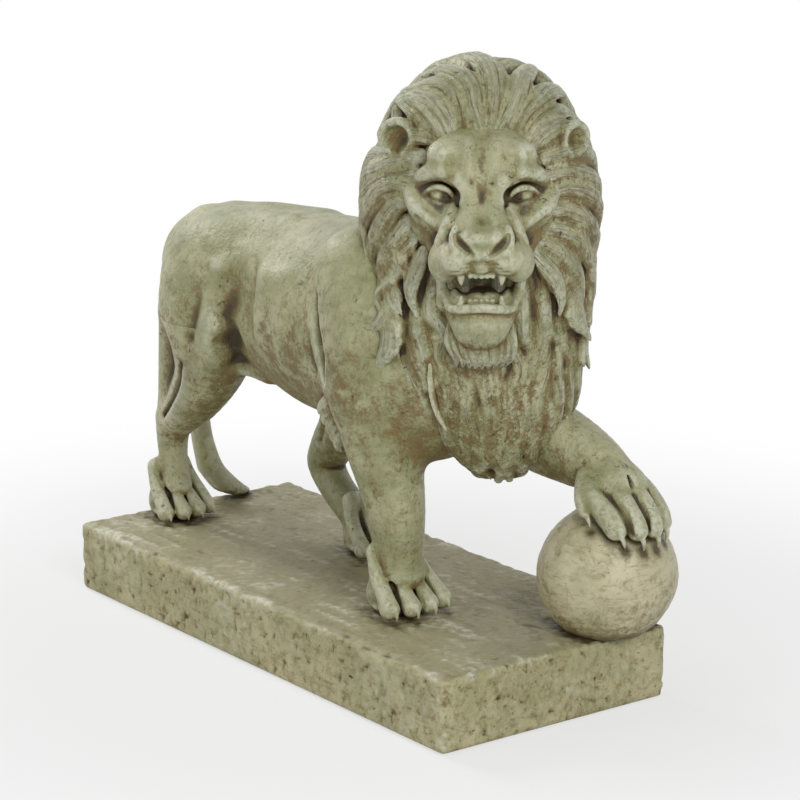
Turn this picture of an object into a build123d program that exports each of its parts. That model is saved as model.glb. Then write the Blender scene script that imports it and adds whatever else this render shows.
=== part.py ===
from build123d import *
from math import cos, radians, sin, sqrt
import os

# Striding guardian lion in cast stone, its left forepaw resting on a ball, on a slab plinth.
# The figure is cast in sections that meet on joint faces and are pinned with steel dowels.
# Frame: origin at the centre of the plinth's underside, +X the way the lion strides,
# +Y its left side, +Z up. All sizes are in millimetres.

# --- Plinth ---------------------------------------------------------------------------------
PLINTH_LENGTH = 711.0
PLINTH_WIDTH = 305.0
PLINTH_HEIGHT = 83.0
PLINTH_CORNER = 7.0          # worn radius on the upright corners
PLINTH_ARRIS = 3.0           # worn radius on the top edge

# --- Ball -----------------------------------------------------------------------------------
BALL_RADIUS = 76.0
BALL_SEAT_RADIUS = 45.0      # flat on which the ball sits on the plinth
BALL_X = 326.0
BALL_Y = 92.0

# --- Joint faces between the castings --------------------------------------------------------
SURFACE_GAP = 0.4            # between curved faces that lie on each other
FORELEG_INSET = 24.0         # sagittal joint, from the middle of the body
HINDLEG_INSET = 12.0
FORELEG_JOINT_HEIGHT = 292.0
RIGHT_HINDLEG_JOINT_HEIGHT = 262.0
LEFT_HINDLEG_JOINT_HEIGHT = 236.0
FORELEG_JOINT_BACK = 52.0
FOOT_CLEAR_HEIGHT = 140.0    # below this the whole right forefoot belongs to its leg,
FOOT_CLEAR_Y = 6.0           # as far in as this
RIGHT_HINDLEG_JOINT_FRONT = -158.0
LEFT_HINDLEG_JOINT_SPAN = (-262.0, 6.0)
TAIL_JOINT_X = -322.0
TAIL_CLEAR_HEIGHT = 130.0    # below this, beside the right hind paw, the tail's space is
TAIL_CLEAR_Y = -6.0          # bounded by these two planes
TAIL_CLEAR_X = -290.0
NECK_JOINT_X = 160.0         # where the neck joint meets the level below
NECK_JOINT_LEVEL = 354.0
NECK_JOINT_LEAN = 31.0       # degrees the neck joint leans back from upright
RUFF_JOINT_HEIGHT = 330.0    # level joint under the chin, between mane and chest ruff

# --- Steel dowels ---------------------------------------------------------------------------
DOWEL_RADIUS = 5.0
DOWEL_GROUT = 0.3            # bonding gap round a dowel
DOWEL_END_GAP = 4.0          # between the ends of the two shoulder dowels, inside the chest
FOOT_DOWEL_DEPTH = 45.0      # into the plinth
FOOT_DOWEL_RISE = 30.0       # up into a foot
BALL_DOWEL_RISE = 55.0       # up into the ball
PAW_DOWEL_DEPTH = 35.0       # down into the ball from its top
PAW_DOWEL_RISE = 18.0        # up into the raised paw
JOINT_DOWEL_REACH = FORELEG_INSET - DOWEL_END_GAP / 2    # each way from a joint face

# --- Head ------------------------------------------------------------------------------------
HEAD_TURN = -38.0            # degrees, the head looks to the lion's right
HEAD_X = 172.0               # middle of the mane at eye level
HEAD_Y = 39.0
FACE_JOINT = 36.0            # face joint, ahead of the middle of the mane
EAR_FORWARD = 50.0
EAR_SPREAD = 93.0
EAR_HEIGHT = 545.0
EAR_RADIUS = 21.0

# --- Places of the dowels ---------------------------------------------------------------------
SHOULDER_PIN = (120.0, 240.0)          # x, height above the plinth
RIGHT_HIP_PIN = (-215.0, 236.0)
LEFT_HIP_PIN = (-140.0, 208.0)
NECK_PIN_SPREAD = 35.0
FACE_PIN_SPREAD = 38.0
RUFF_PIN = (14.0, 6.0)                 # forward and sideways of the head's middle
TAIL_PIN_DIRECTION = (-0.55, 0.05, -0.83)

# --- Forms ------------------------------------------------------------------------------------
# Stations are (x, y, height above the plinth, radius).
BARREL = (                   # x, mid height, half width, half height
    (-318.0, 318.0, 28.0, 26.0),
    (-285.0, 306.0, 62.0, 56.0),
    (-200.0, 297.0, 84.0, 84.0),
    (-120.0, 290.0, 94.0, 105.0),
    (-40.0, 289.0, 103.0, 116.0),
    (40.0, 291.0, 108.0, 122.0),
    (110.0, 290.0, 106.0, 130.0),
    (165.0, 284.0, 92.0, 118.0),
    (206.0, 274.0, 62.0, 82.0),
    (222.0, 268.0, 30.0, 40.0),
)
RIGHT_FORELEG = (
    (96.0, -42.0, 346.0, 40.0),
    (104.0, -52.0, 304.0, 58.0),
    (118.0, -58.0, 238.0, 54.0),
    (131.0, -55.0, 180.0, 42.0),
    (142.0, -52.0, 124.0, 35.0),
    (147.0, -50.0, 68.0, 28.0),
    (149.0, -50.0, 34.0, 30.0),
    (151.0, -50.0, 0.0, 33.0),
)
LEFT_FORELEG = (
    (84.0, 40.0, 306.0, 40.0),
    (118.0, 54.0, 268.0, 59.0),
    (168.0, 72.0, 222.0, 48.0),
    (232.0, 88.0, 194.0, 39.0),
    (288.0, 96.0, 180.0, 34.0),
    (322.0, 98.0, 164.0, 31.0),
    (340.0, 96.0, 146.0, 29.0),
)
RIGHT_HINDLEG = (
    (-234.0, -26.0, 336.0, 38.0),
    (-226.0, -42.0, 298.0, 60.0),
    (-206.0, -54.0, 242.0, 58.0),
    (-210.0, -56.0, 200.0, 44.0),
    (-250.0, -55.0, 158.0, 34.0),
    (-292.0, -52.0, 126.0, 27.0),
    (-308.0, -50.0, 92.0, 21.0),
    (-308.0, -48.0, 50.0, 20.0),
    (-304.0, -47.0, 0.0, 27.0),
)
LEFT_HINDLEG = (
    (-218.0, 26.0, 330.0, 38.0),
    (-190.0, 42.0, 290.0, 60.0),
    (-128.0, 55.0, 230.0, 56.0),
    (-78.0, 57.0, 182.0, 42.0),
    (-112.0, 55.0, 124.0, 31.0),
    (-133.0, 53.0, 86.0, 24.0),
    (-98.0, 53.0, 52.0, 23.0),
    (-62.0, 54.0, 22.0, 24.0),
    (-44.0, 54.0, 0.0, 28.0),
)
TAIL = (
    (-300.0, 0.0, 326.0, 22.0),
    (-330.0, 2.0, 296.0, 19.0),
    (-343.0, 6.0, 236.0, 15.0),
    (-343.0, 10.0, 150.0, 14.0),
    (-341.0, 12.0, 76.0, 15.0),
    (-338.0, 20.0, 40.0, 19.0),
    (-335.0, 34.0, 0.0, 22.0),
)
TAIL_TUFT = (-333.0, 42.0, 23.0, 38.0, 20.0)   # x, y, half length, half width, height
# Paws: x, y, half length, half width, height.
RIGHT_FOREPAW = (151.0, -48.0, 42.0, 45.0, 44.0)
RIGHT_HINDPAW = (-300.0, -46.0, 40.0, 38.0, 40.0)
LEFT_HINDPAW = (-34.0, 54.0, 42.0, 38.0, 40.0)
BALL_PAW = (347.0, 94.0, 44.0, 46.0, 34.0)     # height is half the paw's depth on the ball

LEG_DRAWN_FOR_BALL_TOP = 137.25                # height of the ball that LEFT_FORELEG is drawn for

# Mane stations: forward, sideways of the head's middle, height above the plinth,
# half depth, half width.
MANE = (
    (44.0, 26.0, 162.0, 10.0, 10.0),
    (42.0, 22.0, 196.0, 30.0, 38.0),
    (34.0, 14.0, 250.0, 56.0, 78.0),
    (16.0, 6.0, 320.0, 84.0, 104.0),
    (2.0, 0.0, 390.0, 100.0, 128.0),
    (0.0, 0.0, 460.0, 104.0, 136.0),
    (2.0, 0.0, 525.0, 98.0, 124.0),
    (6.0, 0.0, 578.0, 74.0, 92.0),
    (8.0, 0.0, 612.0, 24.0, 32.0),
)
# Face stations: forward of the face joint, height, half width, half height.
FACE = (
    (0.0, 472.0, 78.0, 92.0),
    (42.0, 470.0, 77.0, 90.0),
    (70.0, 456.0, 66.0, 84.0),
    (94.0, 436.0, 54.0, 76.0),
    (124.0, 425.0, 50.0, 68.0),
    (136.0, 425.0, 40.0, 54.0),
)

TOP = PLINTH_HEIGHT
FORWARD = Vector(cos(radians(HEAD_TURN)), sin(radians(HEAD_TURN)), 0)
SIDEWAYS = Vector(-FORWARD.Y, FORWARD.X, 0)
BALL_Z = TOP + sqrt(BALL_RADIUS**2 - BALL_SEAT_RADIUS**2)
BALL_TOP = BALL_Z + BALL_RADIUS
BALL_LIFT = BALL_TOP - TOP - LEG_DRAWN_FOR_BALL_TOP    # keeps the raised leg on the ball
TAIL_PIN = (TAIL_JOINT_X, TAIL[1][1], TOP + TAIL[1][2] + (TAIL_JOINT_X - TAIL[1][0]))
FAR = 600.0


def limb(stations, grow=0.0, lift=0.0):
    """One tapered limb through round stations, each section square to the limb's path."""
    points = [Vector(x, y, TOP + height + lift) for x, y, height, _ in stations]
    sections = []
    for i, (point, station) in enumerate(zip(points, stations)):
        before = points[max(i - 1, 0)]
        after = points[min(i + 1, len(points) - 1)]
        across = Plane(origin=point, x_dir=(0, 1, 0), z_dir=after - before)
        sections.append(across * Circle(station[3] + grow))
    return loft(sections, ruled=True)


def pad(x, y, half_length, half_width, height):
    """A paw or tuft: half an ellipsoid that stands flat on the plinth."""
    ball = scale(Sphere(1), by=(half_length, half_width, height))
    return Pos(x, y, TOP) * (ball & Pos(0, 0, height) * Box(FAR, FAR, 2 * height))


def barrel():
    """The trunk, lofted through upright ellipses from the rump to the chest."""
    sections = []
    for x, height, half_width, half_height in BARREL:
        upright = Plane(origin=(x, 0, TOP + height), x_dir=(0, 1, 0), z_dir=(1, 0, 0))
        sections.append(upright * Ellipse(half_width, half_height))
    return loft(sections)


def head_point(forward, sideways, height):
    """A point given from the middle of the head, in the head's own directions."""
    base = Vector(HEAD_X, HEAD_Y, TOP + height)
    return base + FORWARD * forward + SIDEWAYS * sideways


def mane_body():
    """The mane and chest ruff as one egg, lofted through level ellipses."""
    sections = []
    for forward, sideways, height, half_depth, half_width in MANE:
        level = Plane(origin=head_point(forward, sideways, height), x_dir=FORWARD, z_dir=(0, 0, 1))
        sections.append(level * Ellipse(half_depth, half_width))
    return loft(sections)


def face_body(grow=0.0):
    """Brow, cheeks, muzzle and chin, lofted forwards from the face joint."""
    sections = []
    for forward, height, half_width, half_height in FACE:
        origin = head_point(FACE_JOINT + forward, 0, height)
        upright = Plane(origin=origin, x_dir=SIDEWAYS, z_dir=FORWARD)
        sections.append(upright * Ellipse(half_width + grow, half_height + grow))
    return loft(sections)


def span_box(x_span, y_span, z_span):
    """A box given by its limits along each axis."""
    size = [high - low for low, high in (x_span, y_span, z_span)]
    middle = [(low + high) / 2 for low, high in (x_span, y_span, z_span)]
    return Pos(*middle) * Box(*size)


def ahead_of_neck():
    """Everything in front of the leaning neck joint."""
    joint = Pos(NECK_JOINT_X, 0, NECK_JOINT_LEVEL) * Rot(0, -NECK_JOINT_LEAN, 0)
    return joint * Pos(FAR, 0, 0) * Box(2 * FAR, 2 * FAR, 2 * FAR)


def pin(start, direction, length, grow):
    """A steel dowel, or with grow its hole, from a start point along a direction."""
    seat = Plane(origin=start, z_dir=direction)
    upwards = (Align.CENTER, Align.CENTER, Align.MIN)
    return seat * Cylinder(DOWEL_RADIUS + grow, length, align=upwards)


def joint_pin(point, direction, grow):
    """A steel dowel that crosses a joint face at its middle."""
    along = Vector(*direction).normalized()
    return pin(Vector(*point) - along * JOINT_DOWEL_REACH, along, 2 * JOINT_DOWEL_REACH, grow)


def foot_pin(x, y, grow, rise=FOOT_DOWEL_RISE):
    """A steel dowel from inside the plinth up into what stands on it."""
    return pin(Vector(x, y, TOP - FOOT_DOWEL_DEPTH), (0, 0, 1), FOOT_DOWEL_DEPTH + rise, grow)


def dowel_groups(grow=0.0):
    """Every steel dowel by node name; grow turns them into their grouted holes."""
    lean = radians(NECK_JOINT_LEAN)
    neck = (cos(lean), 0, sin(lean))
    level = TOP + NECK_JOINT_LEVEL
    shoulder = TOP + SHOULDER_PIN[1]
    paw_start = Vector(BALL_PAW[0], BALL_PAW[1], BALL_TOP - PAW_DOWEL_DEPTH)
    feet = (RIGHT_FORELEG[-1], RIGHT_HINDLEG[-1], LEFT_HINDLEG[-1])
    return {
        "foot_dowels": [foot_pin(x, y, grow) for x, y, _, _ in feet],
        "ball_dowels": [
            foot_pin(BALL_X, BALL_Y, grow, BALL_DOWEL_RISE),
            pin(paw_start, (0, 0, 1), PAW_DOWEL_DEPTH + PAW_DOWEL_RISE, grow),
        ],
        "leg_dowels": [
            joint_pin((SHOULDER_PIN[0], -FORELEG_INSET, shoulder), (0, 1, 0), grow),
            joint_pin((SHOULDER_PIN[0], FORELEG_INSET, shoulder), (0, 1, 0), grow),
            joint_pin((RIGHT_HIP_PIN[0], -HINDLEG_INSET, TOP + RIGHT_HIP_PIN[1]), (0, 1, 0), grow),
            joint_pin((LEFT_HIP_PIN[0], HINDLEG_INSET, TOP + LEFT_HIP_PIN[1]), (0, 1, 0), grow),
        ],
        "neck_dowels": [
            joint_pin((NECK_JOINT_X, side * NECK_PIN_SPREAD, level), neck, grow) for side in (-1, 1)
        ],
        "face_dowels": [
            joint_pin(head_point(FACE_JOINT, side * FACE_PIN_SPREAD, FACE[0][1]), FORWARD, grow)
            for side in (-1, 1)
        ],
        "ruff_dowel": [joint_pin(head_point(*RUFF_PIN, RUFF_JOINT_HEIGHT), (0, 0, 1), grow)],
        "tail_dowel": [joint_pin(TAIL_PIN, TAIL_PIN_DIRECTION, grow)],
    }


def make_plinth():
    """The slab, with its upright corners and top edge worn round."""
    slab = Pos(0, 0, PLINTH_HEIGHT / 2) * Box(PLINTH_LENGTH, PLINTH_WIDTH, PLINTH_HEIGHT)
    slab = fillet(slab.edges().filter_by(Axis.Z), PLINTH_CORNER)
    return fillet(slab.faces().sort_by(Axis.Z)[-1].edges(), PLINTH_ARRIS)


def make_ball():
    """The ball, flat where it sits on the plinth."""
    return Pos(BALL_X, BALL_Y, BALL_Z) * Sphere(BALL_RADIUS) & above(0.0)


def above(height):
    """Everything higher than a level above the plinth."""
    return span_box((-FAR, FAR), (-FAR, FAR), (TOP + height, TOP + 2 * FAR))


def below(height):
    """Everything between the plinth's top and a level over it."""
    return span_box((-FAR, FAR), (-FAR, FAR), (TOP, TOP + height))


def ball_paw():
    """The raised paw, draped over the ball."""
    x, y, half_length, half_width, half_height = BALL_PAW
    return Pos(x, y, BALL_TOP) * scale(Sphere(1), by=(half_length, half_width, half_height))


def make_body():
    """Trunk, legs and tail as one form, before the joints are cut."""
    body = barrel() - ahead_of_neck()
    for stations, paw in (
        (RIGHT_FORELEG, RIGHT_FOREPAW),
        (RIGHT_HINDLEG, RIGHT_HINDPAW),
        (LEFT_HINDLEG, LEFT_HINDPAW),
        (TAIL, TAIL_TUFT),
    ):
        body = body + (limb(stations) & above(0.0)) + pad(*paw)
    return body + limb(LEFT_FORELEG, lift=BALL_LIFT) + ball_paw()


def joint_regions():
    """The space that each leg casting and the tail take out of the body."""
    outboard_right = (-FAR, -FORELEG_INSET)
    outboard_left = (FORELEG_INSET, FAR)
    legs = (TOP, TOP + FORELEG_JOINT_HEIGHT)
    right_hip = (TOP, TOP + RIGHT_HINDLEG_JOINT_HEIGHT)
    left_hip = (TOP, TOP + LEFT_HINDLEG_JOINT_HEIGHT)
    behind = (-FAR, TAIL_JOINT_X)
    low_tail = span_box((-FAR, TAIL_CLEAR_X), (TAIL_CLEAR_Y, FAR), (TOP, TOP + TAIL_CLEAR_HEIGHT))
    tail = low_tail + (span_box(behind, (-FAR, FAR), (TOP, TOP + FAR)) & above(TAIL_CLEAR_HEIGHT))
    foot = (TOP, TOP + FOOT_CLEAR_HEIGHT)
    right_foot = span_box((FORELEG_JOINT_BACK, FAR), (-FAR, FOOT_CLEAR_Y), foot)
    right_hind = span_box((-FAR, RIGHT_HINDLEG_JOINT_FRONT), (-FAR, -HINDLEG_INSET), right_hip)
    return {
        "right_foreleg": span_box((FORELEG_JOINT_BACK, FAR), outboard_right, legs) + right_foot,
        "left_foreleg": span_box((FORELEG_JOINT_BACK, FAR), outboard_left, legs),
        "right_hind_leg": right_hind - tail,
        "left_hind_leg": span_box(LEFT_HINDLEG_JOINT_SPAN, (HINDLEG_INSET, FAR), left_hip),
        "tail": tail,
    }


def make_mane():
    """The whole mane with its ears, cleared of the neck joint and the shoulders."""
    mane = mane_body()
    for side in (-1, 1):
        place = head_point(EAR_FORWARD, side * EAR_SPREAD, EAR_HEIGHT)
        mane = mane + Pos(place.X, place.Y, place.Z) * Sphere(EAR_RADIUS)
    mane = mane & ahead_of_neck()
    mane = mane - limb(RIGHT_FORELEG, SURFACE_GAP)
    return mane - limb(LEFT_FORELEG, SURFACE_GAP, BALL_LIFT)


def make_castings():
    """Every stone casting by node name, before the dowel holes."""
    body = make_body()
    castings = {"plinth": make_plinth(), "ball": make_ball()}
    torso = body
    for name, region in joint_regions().items():
        castings[name] = body & region
        torso = torso - region
    over_ball = Pos(BALL_X, BALL_Y, BALL_Z) * Sphere(BALL_RADIUS + SURFACE_GAP)
    castings["left_foreleg"] = castings["left_foreleg"] - over_ball
    mane = make_mane()
    castings["torso"] = torso
    castings["chest_ruff"] = mane & below(RUFF_JOINT_HEIGHT)
    castings["mane"] = (mane & above(RUFF_JOINT_HEIGHT)) - face_body(SURFACE_GAP)
    castings["head"] = face_body()
    return castings


def main():
    """Bore the castings for their dowels and write every node.

    A joint plane can shave a sliver off a neighbour, so only a casting's largest solid is kept.
    """
    os.makedirs("parts", exist_ok=True)
    holes = [hole for group in dowel_groups(DOWEL_GROUT).values() for hole in group]
    for name, casting in make_castings().items():
        for hole in holes:
            casting = casting - hole
        solids = sorted(casting.solids(), key=lambda solid: solid.volume)
        export_step(Compound(children=solids[-1:]), f"parts/{name}.step")
    for name, group in dowel_groups().items():
        export_step(Compound(children=group), f"parts/{name}.step")


main()
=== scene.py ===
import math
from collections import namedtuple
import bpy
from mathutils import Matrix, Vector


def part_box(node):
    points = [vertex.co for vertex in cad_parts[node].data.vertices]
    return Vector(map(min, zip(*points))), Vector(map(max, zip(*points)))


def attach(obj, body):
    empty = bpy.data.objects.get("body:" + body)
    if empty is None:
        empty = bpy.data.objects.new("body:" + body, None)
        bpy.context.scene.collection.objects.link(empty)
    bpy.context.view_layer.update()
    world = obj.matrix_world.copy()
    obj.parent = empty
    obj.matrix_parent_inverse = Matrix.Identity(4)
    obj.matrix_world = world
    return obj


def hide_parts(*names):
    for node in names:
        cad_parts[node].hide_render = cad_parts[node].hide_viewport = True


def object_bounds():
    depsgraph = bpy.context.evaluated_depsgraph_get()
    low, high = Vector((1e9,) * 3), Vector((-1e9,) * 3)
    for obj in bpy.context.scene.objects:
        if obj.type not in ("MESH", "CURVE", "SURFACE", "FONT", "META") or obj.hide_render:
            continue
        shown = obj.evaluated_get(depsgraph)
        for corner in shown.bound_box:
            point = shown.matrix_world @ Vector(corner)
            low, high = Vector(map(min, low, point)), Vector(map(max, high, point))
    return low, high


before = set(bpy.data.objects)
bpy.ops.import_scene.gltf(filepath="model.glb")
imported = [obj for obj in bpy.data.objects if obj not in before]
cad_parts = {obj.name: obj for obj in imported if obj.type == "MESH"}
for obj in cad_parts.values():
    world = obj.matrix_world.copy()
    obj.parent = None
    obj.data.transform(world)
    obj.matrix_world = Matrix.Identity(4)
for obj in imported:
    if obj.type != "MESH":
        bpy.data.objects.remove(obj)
CAD_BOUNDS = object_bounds()

# A striding guardian lion in cast stone, its left forepaw on a ball. Its castings are carved in
# clay over the frame's nodes, cut apart at the frame's joint faces, and painted.

from concurrent.futures import ThreadPoolExecutor

import bpy
import numpy as np
import openvdb
from mathutils import Vector
from mathutils.kdtree import KDTree

# --------------------------------------------------------------------------------------------
# Sizes. Every length below is in millimetres of the full-size lion. Places are (x, y, height),
# with the height measured from the plinth's top, or (forward, sideways, height) on the head.
# --------------------------------------------------------------------------------------------
FULL_SIZE_PLINTH = 711.0
PLINTH_LOW, PLINTH_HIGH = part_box("plinth")
MM = (PLINTH_HIGH.x - PLINTH_LOW.x) / FULL_SIZE_PLINTH      # metres per millimetre
GROUND = PLINTH_HIGH.z


def node_box(node):
    """The lowest and highest corner of a frame node, as (x, y, height) in millimetres."""
    low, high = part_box(node)
    return [(np.array(corner) - (0, 0, GROUND)) / MM for corner in (low, high)]


BALL_LOW, BALL_HIGH = node_box("ball")
BALL_RADIUS = (BALL_HIGH[0] - BALL_LOW[0]) / 2
BALL_MIDDLE = np.array([*(BALL_LOW + BALL_HIGH)[:2] / 2, BALL_HIGH[2] - BALL_RADIUS])

TORSO_GRAIN = 2.0                # clay resolution of each casting
LEG_GRAIN = 1.35
FACE_GRAIN = 1.15
MANE_GRAIN = 1.75
FAR = 60.0                   # as far from any clay as the field tells
LAP = 4.0                    # the torso runs this far on beneath a joined casting,
LAP_SINK = 0.3               # this far under its surface, so that the joint closes without a groove
SEED = 28
CREW = 4                     # hands that work the clay at once,
SLABS = 16                   # and the slabs they share out

HEAD_TURN = math.radians(-38.0)
HEAD_MIDDLE = np.array([172.0, 39.0])
FORWARD = np.array([math.cos(HEAD_TURN), math.sin(HEAD_TURN), 0.0])
SIDEWAYS = np.array([-FORWARD[1], FORWARD[0], 0.0])
UP = np.array([0.0, 0.0, 1.0])
HEAD_AXES = np.array([FORWARD, SIDEWAYS, UP])


# --------------------------------------------------------------------------------------------
# Clay: forms are added and cut as signed distances on a grid, then skinned with a mesh.
# --------------------------------------------------------------------------------------------
Form = namedtuple("Form", "low high distance")


def smooth_min(a, b, blend):
    """The nearer of two distances, run together over the blend width."""
    if blend <= 0:
        return np.minimum(a, b)
    overlap = np.maximum(blend - np.abs(a - b), 0) / blend
    return np.minimum(a, b) - overlap * overlap * blend * 0.25


class Sculpture:
    """The steps of a figure in the order they are worked: forms added and forms cut."""

    def __init__(self):
        self.steps = []
        self.tresses = []

    def comb_in(self, tress, blend):
        """Adds a tress of hair, and remembers the way it lies."""
        self.tresses.append(tress)
        self.add(tress_form(tress), blend)

    def add(self, form, blend=8.0):
        self.steps.append((form, blend, 1))

    def cut(self, form, blend=4.0):
        self.steps.append((form, blend, -1))

    def depth(self, points):
        """Signed distance of points from the figure."""
        depth = np.full(len(points), FAR)
        for form, blend, sign in self.steps:
            depth = sign * smooth_min(sign * depth, form.distance(*points.T), blend)
        return depth


class Clay:
    """A block of clay in which a stretch of a sculpture is worked at one grain."""

    def __init__(self, sculpture, low, high, grain):
        self.low = np.array(low, float)
        self.grain = grain
        self.count = np.ceil((np.array(high) - self.low) / grain).astype(int) + 1
        self.axes = [self.low[i] + grain * np.arange(self.count[i]) for i in range(3)]
        self.field = np.full(self.count, FAR, np.float32)
        edges = np.linspace(0, self.count[0], SLABS + 1).astype(int)
        with ThreadPoolExecutor(CREW) as crew:
            list(crew.map(lambda span: self.work(sculpture.steps, *span),
                          zip(edges[:-1], edges[1:])))
        self.soften()

    def grid(self, window=(slice(None),) * 3):
        """The coordinates of a window of the block, ready to broadcast."""
        x, y, h = [self.axes[i][window[i]].astype(np.float32) for i in range(3)]
        return x[:, None, None], y[None, :, None], h[None, None, :]

    def work(self, steps, first, last):
        """Works every step in one slab of the block."""
        for form, blend, sign in steps:
            reach = blend + 4 * self.grain
            starts = [np.searchsorted(self.axes[i], form.low[i] - reach) for i in range(3)]
            ends = [np.searchsorted(self.axes[i], form.high[i] + reach) for i in range(3)]
            starts[0] = max(starts[0], first)
            ends[0] = min(ends[0], last)
            if any(end <= start for start, end in zip(starts, ends)):
                continue
            window = tuple(slice(start, end) for start, end in zip(starts, ends))
            found = form.distance(*self.grid(window))
            self.field[window] = sign * smooth_min(sign * self.field[window], found, blend)

    def soften(self):
        """Rubs the clay smooth, a grain at a time."""
        for axis in range(3):
            ahead = np.roll(self.field, 1, axis)
            behind = np.roll(self.field, -1, axis)
            self.field = 0.5 * self.field + 0.25 * (ahead + behind)

    def keep(self, space):
        """Cuts away all that lies outside a space."""
        self.field = np.maximum(self.field, space(*self.grid()))

    def leave(self, space):
        """Cuts away what lies in a space, but for a lap that runs on beneath its surface."""
        outside = space(*self.grid())
        sunk = self.field + np.clip(-0.2 * outside, 0, LAP_SINK)
        self.field = np.maximum(sunk, -outside - LAP)

    def skin(self):
        """Points in millimetres and the triangles and quads of the clay's surface."""
        band = 3.0 * self.grain
        grid = openvdb.FloatGrid(band)
        grid.copyFromArray(np.ascontiguousarray(np.clip(self.field, -band, band), np.float32))
        points, triangles, quads = grid.convertToPolygons(isovalue=0.0, adaptivity=0.0)
        return points * self.grain + self.low, triangles, quads

    def fullness(self, spreads):
        """The share of clay round every cell, at each spread: a half on a flat face."""
        solid = np.clip(0.5 - self.field / self.grain, 0, 1).astype(np.float32)
        for spread in spreads:
            width = max(int(round(spread / self.grain)), 1)
            blurred = solid
            for axis in (0, 1, 2, 0, 1, 2):
                blurred = box_blur(blurred, width, axis)
            yield blurred


def box_blur(values, half, axis):
    """The running mean over 2 * half + 1 cells along one axis."""
    pad = [(0, 0)] * 3
    pad[axis] = (half + 1, half)
    total = np.cumsum(np.pad(values, pad, mode="edge"), axis=axis, dtype=np.float64)
    size = values.shape[axis]
    ends = [slice(None)] * 3
    ends[axis] = slice(2 * half + 1, 2 * half + 1 + size)
    starts = [slice(None)] * 3
    starts[axis] = slice(0, size)
    return ((total[tuple(ends)] - total[tuple(starts)]) / (2 * half + 1)).astype(np.float32)


def sample(values, places):
    """Grid values between cells, at places given in cells."""
    limit = np.array(values.shape) - 2
    base = np.clip(np.floor(places).astype(int), 0, limit)
    part = np.clip(places - base, 0, 1)
    result = np.zeros(len(places))
    for corner in np.ndindex(2, 2, 2):
        weight = np.ones(len(places))
        for axis in range(3):
            weight *= part[:, axis] if corner[axis] else 1 - part[:, axis]
        index = base + np.array(corner)
        result += weight * values[index[:, 0], index[:, 1], index[:, 2]]
    return result


# --------------------------------------------------------------------------------------------
# Forms
# --------------------------------------------------------------------------------------------
def head(forward, sideways, height):
    """A place on the head, given in the head's own directions."""
    flat = HEAD_MIDDLE + forward * FORWARD[:2] + sideways * SIDEWAYS[:2]
    return np.array([flat[0], flat[1], height])


def turned(axes, x, y, h, middle):
    """Coordinates about a middle, along three turned axes."""
    x, y, h = x - middle[0], y - middle[1], h - middle[2]
    return [axis[0] * x + axis[1] * y + axis[2] * h for axis in axes]


def lump(middle, radii, axes=np.eye(3)):
    """An ellipsoid, its radii along the given axes."""
    middle = np.array(middle, float)
    radii = np.array(radii, float)
    axes = np.array(axes, float)
    reach = np.sqrt(((axes * radii[:, None]) ** 2).sum(axis=0))

    def distance(x, y, h):
        a, b, c = turned(axes, x, y, h, middle)
        near = np.sqrt((a / radii[0]) ** 2 + (b / radii[1]) ** 2 + (c / radii[2]) ** 2)
        slope = np.sqrt((a / radii[0] ** 2) ** 2 + (b / radii[1] ** 2) ** 2
                        + (c / radii[2] ** 2) ** 2)
        return near * (near - 1) / np.maximum(slope, 1e-6)

    return Form(middle - reach, middle + reach, distance)


def head_lump(place, radii):
    """An ellipsoid on the head, its radii forward, sideways and up."""
    return lump(head(*place), radii, HEAD_AXES)


def smooth_path(stations, parts=4):
    """The stations joined by a smooth curve through every one."""
    stations = np.array(stations, float)
    ends = np.vstack([2 * stations[0] - stations[1], stations, 2 * stations[-1] - stations[-2]])
    path = []
    for i in range(1, len(ends) - 2):
        a, b, c, d = ends[i - 1], ends[i], ends[i + 1], ends[i + 2]
        for t in np.arange(parts) / parts:
            path.append(0.5 * (2 * b + (c - a) * t + (2 * a - 5 * b + 4 * c - d) * t * t
                               + (3 * b - a - 3 * c + d) * t ** 3))
    path.append(ends[-2])
    return np.array(path)


def roll(stations, parts=4):
    """A roll of clay along a smooth path: stations are (x, y, height, radius)."""
    path = smooth_path(stations, parts)
    low = (path[:, :3] - path[:, 3:]).min(axis=0)
    high = (path[:, :3] + path[:, 3:]).max(axis=0)

    def distance(x, y, h):
        best = None
        for a, b in zip(path[:-1], path[1:]):
            along = b[:3] - a[:3]
            length = max(float(along @ along), 1e-6)
            px, py, ph = x - a[0], y - a[1], h - a[2]
            t = np.clip((px * along[0] + py * along[1] + ph * along[2]) / length, 0, 1)
            gap = np.sqrt((px - t * along[0]) ** 2 + (py - t * along[1]) ** 2
                          + (ph - t * along[2]) ** 2) - (a[3] + t * (b[3] - a[3]))
            best = gap if best is None else np.minimum(best, gap)
        return best

    return Form(low, high, distance)


def head_roll(stations, parts=4):
    """A roll of clay on the head: stations are (forward, sideways, height, radius)."""
    return roll([(*head(*station[:3]), station[3]) for station in stations], parts)


def pair(stations_or_place):
    """The same on the right and the left of the face."""
    for side in (-1, 1):
        if np.ndim(stations_or_place) == 1:
            forward, sideways, *rest = stations_or_place
            yield (forward, side * sideways, *rest)
        else:
            yield [(forward, side * sideways, *rest) for forward, sideways,
                   *rest in stations_or_place]


def both(work, shape, drawn, *sizes_and_blend):
    """Works one form on the right and on the left of the face, alike."""
    *sizes, blend = sizes_and_blend
    for mirrored in pair(drawn):
        work(shape(mirrored, *sizes), blend)


Tress = namedtuple("Tress", "path outward across radii strands groove")


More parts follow.
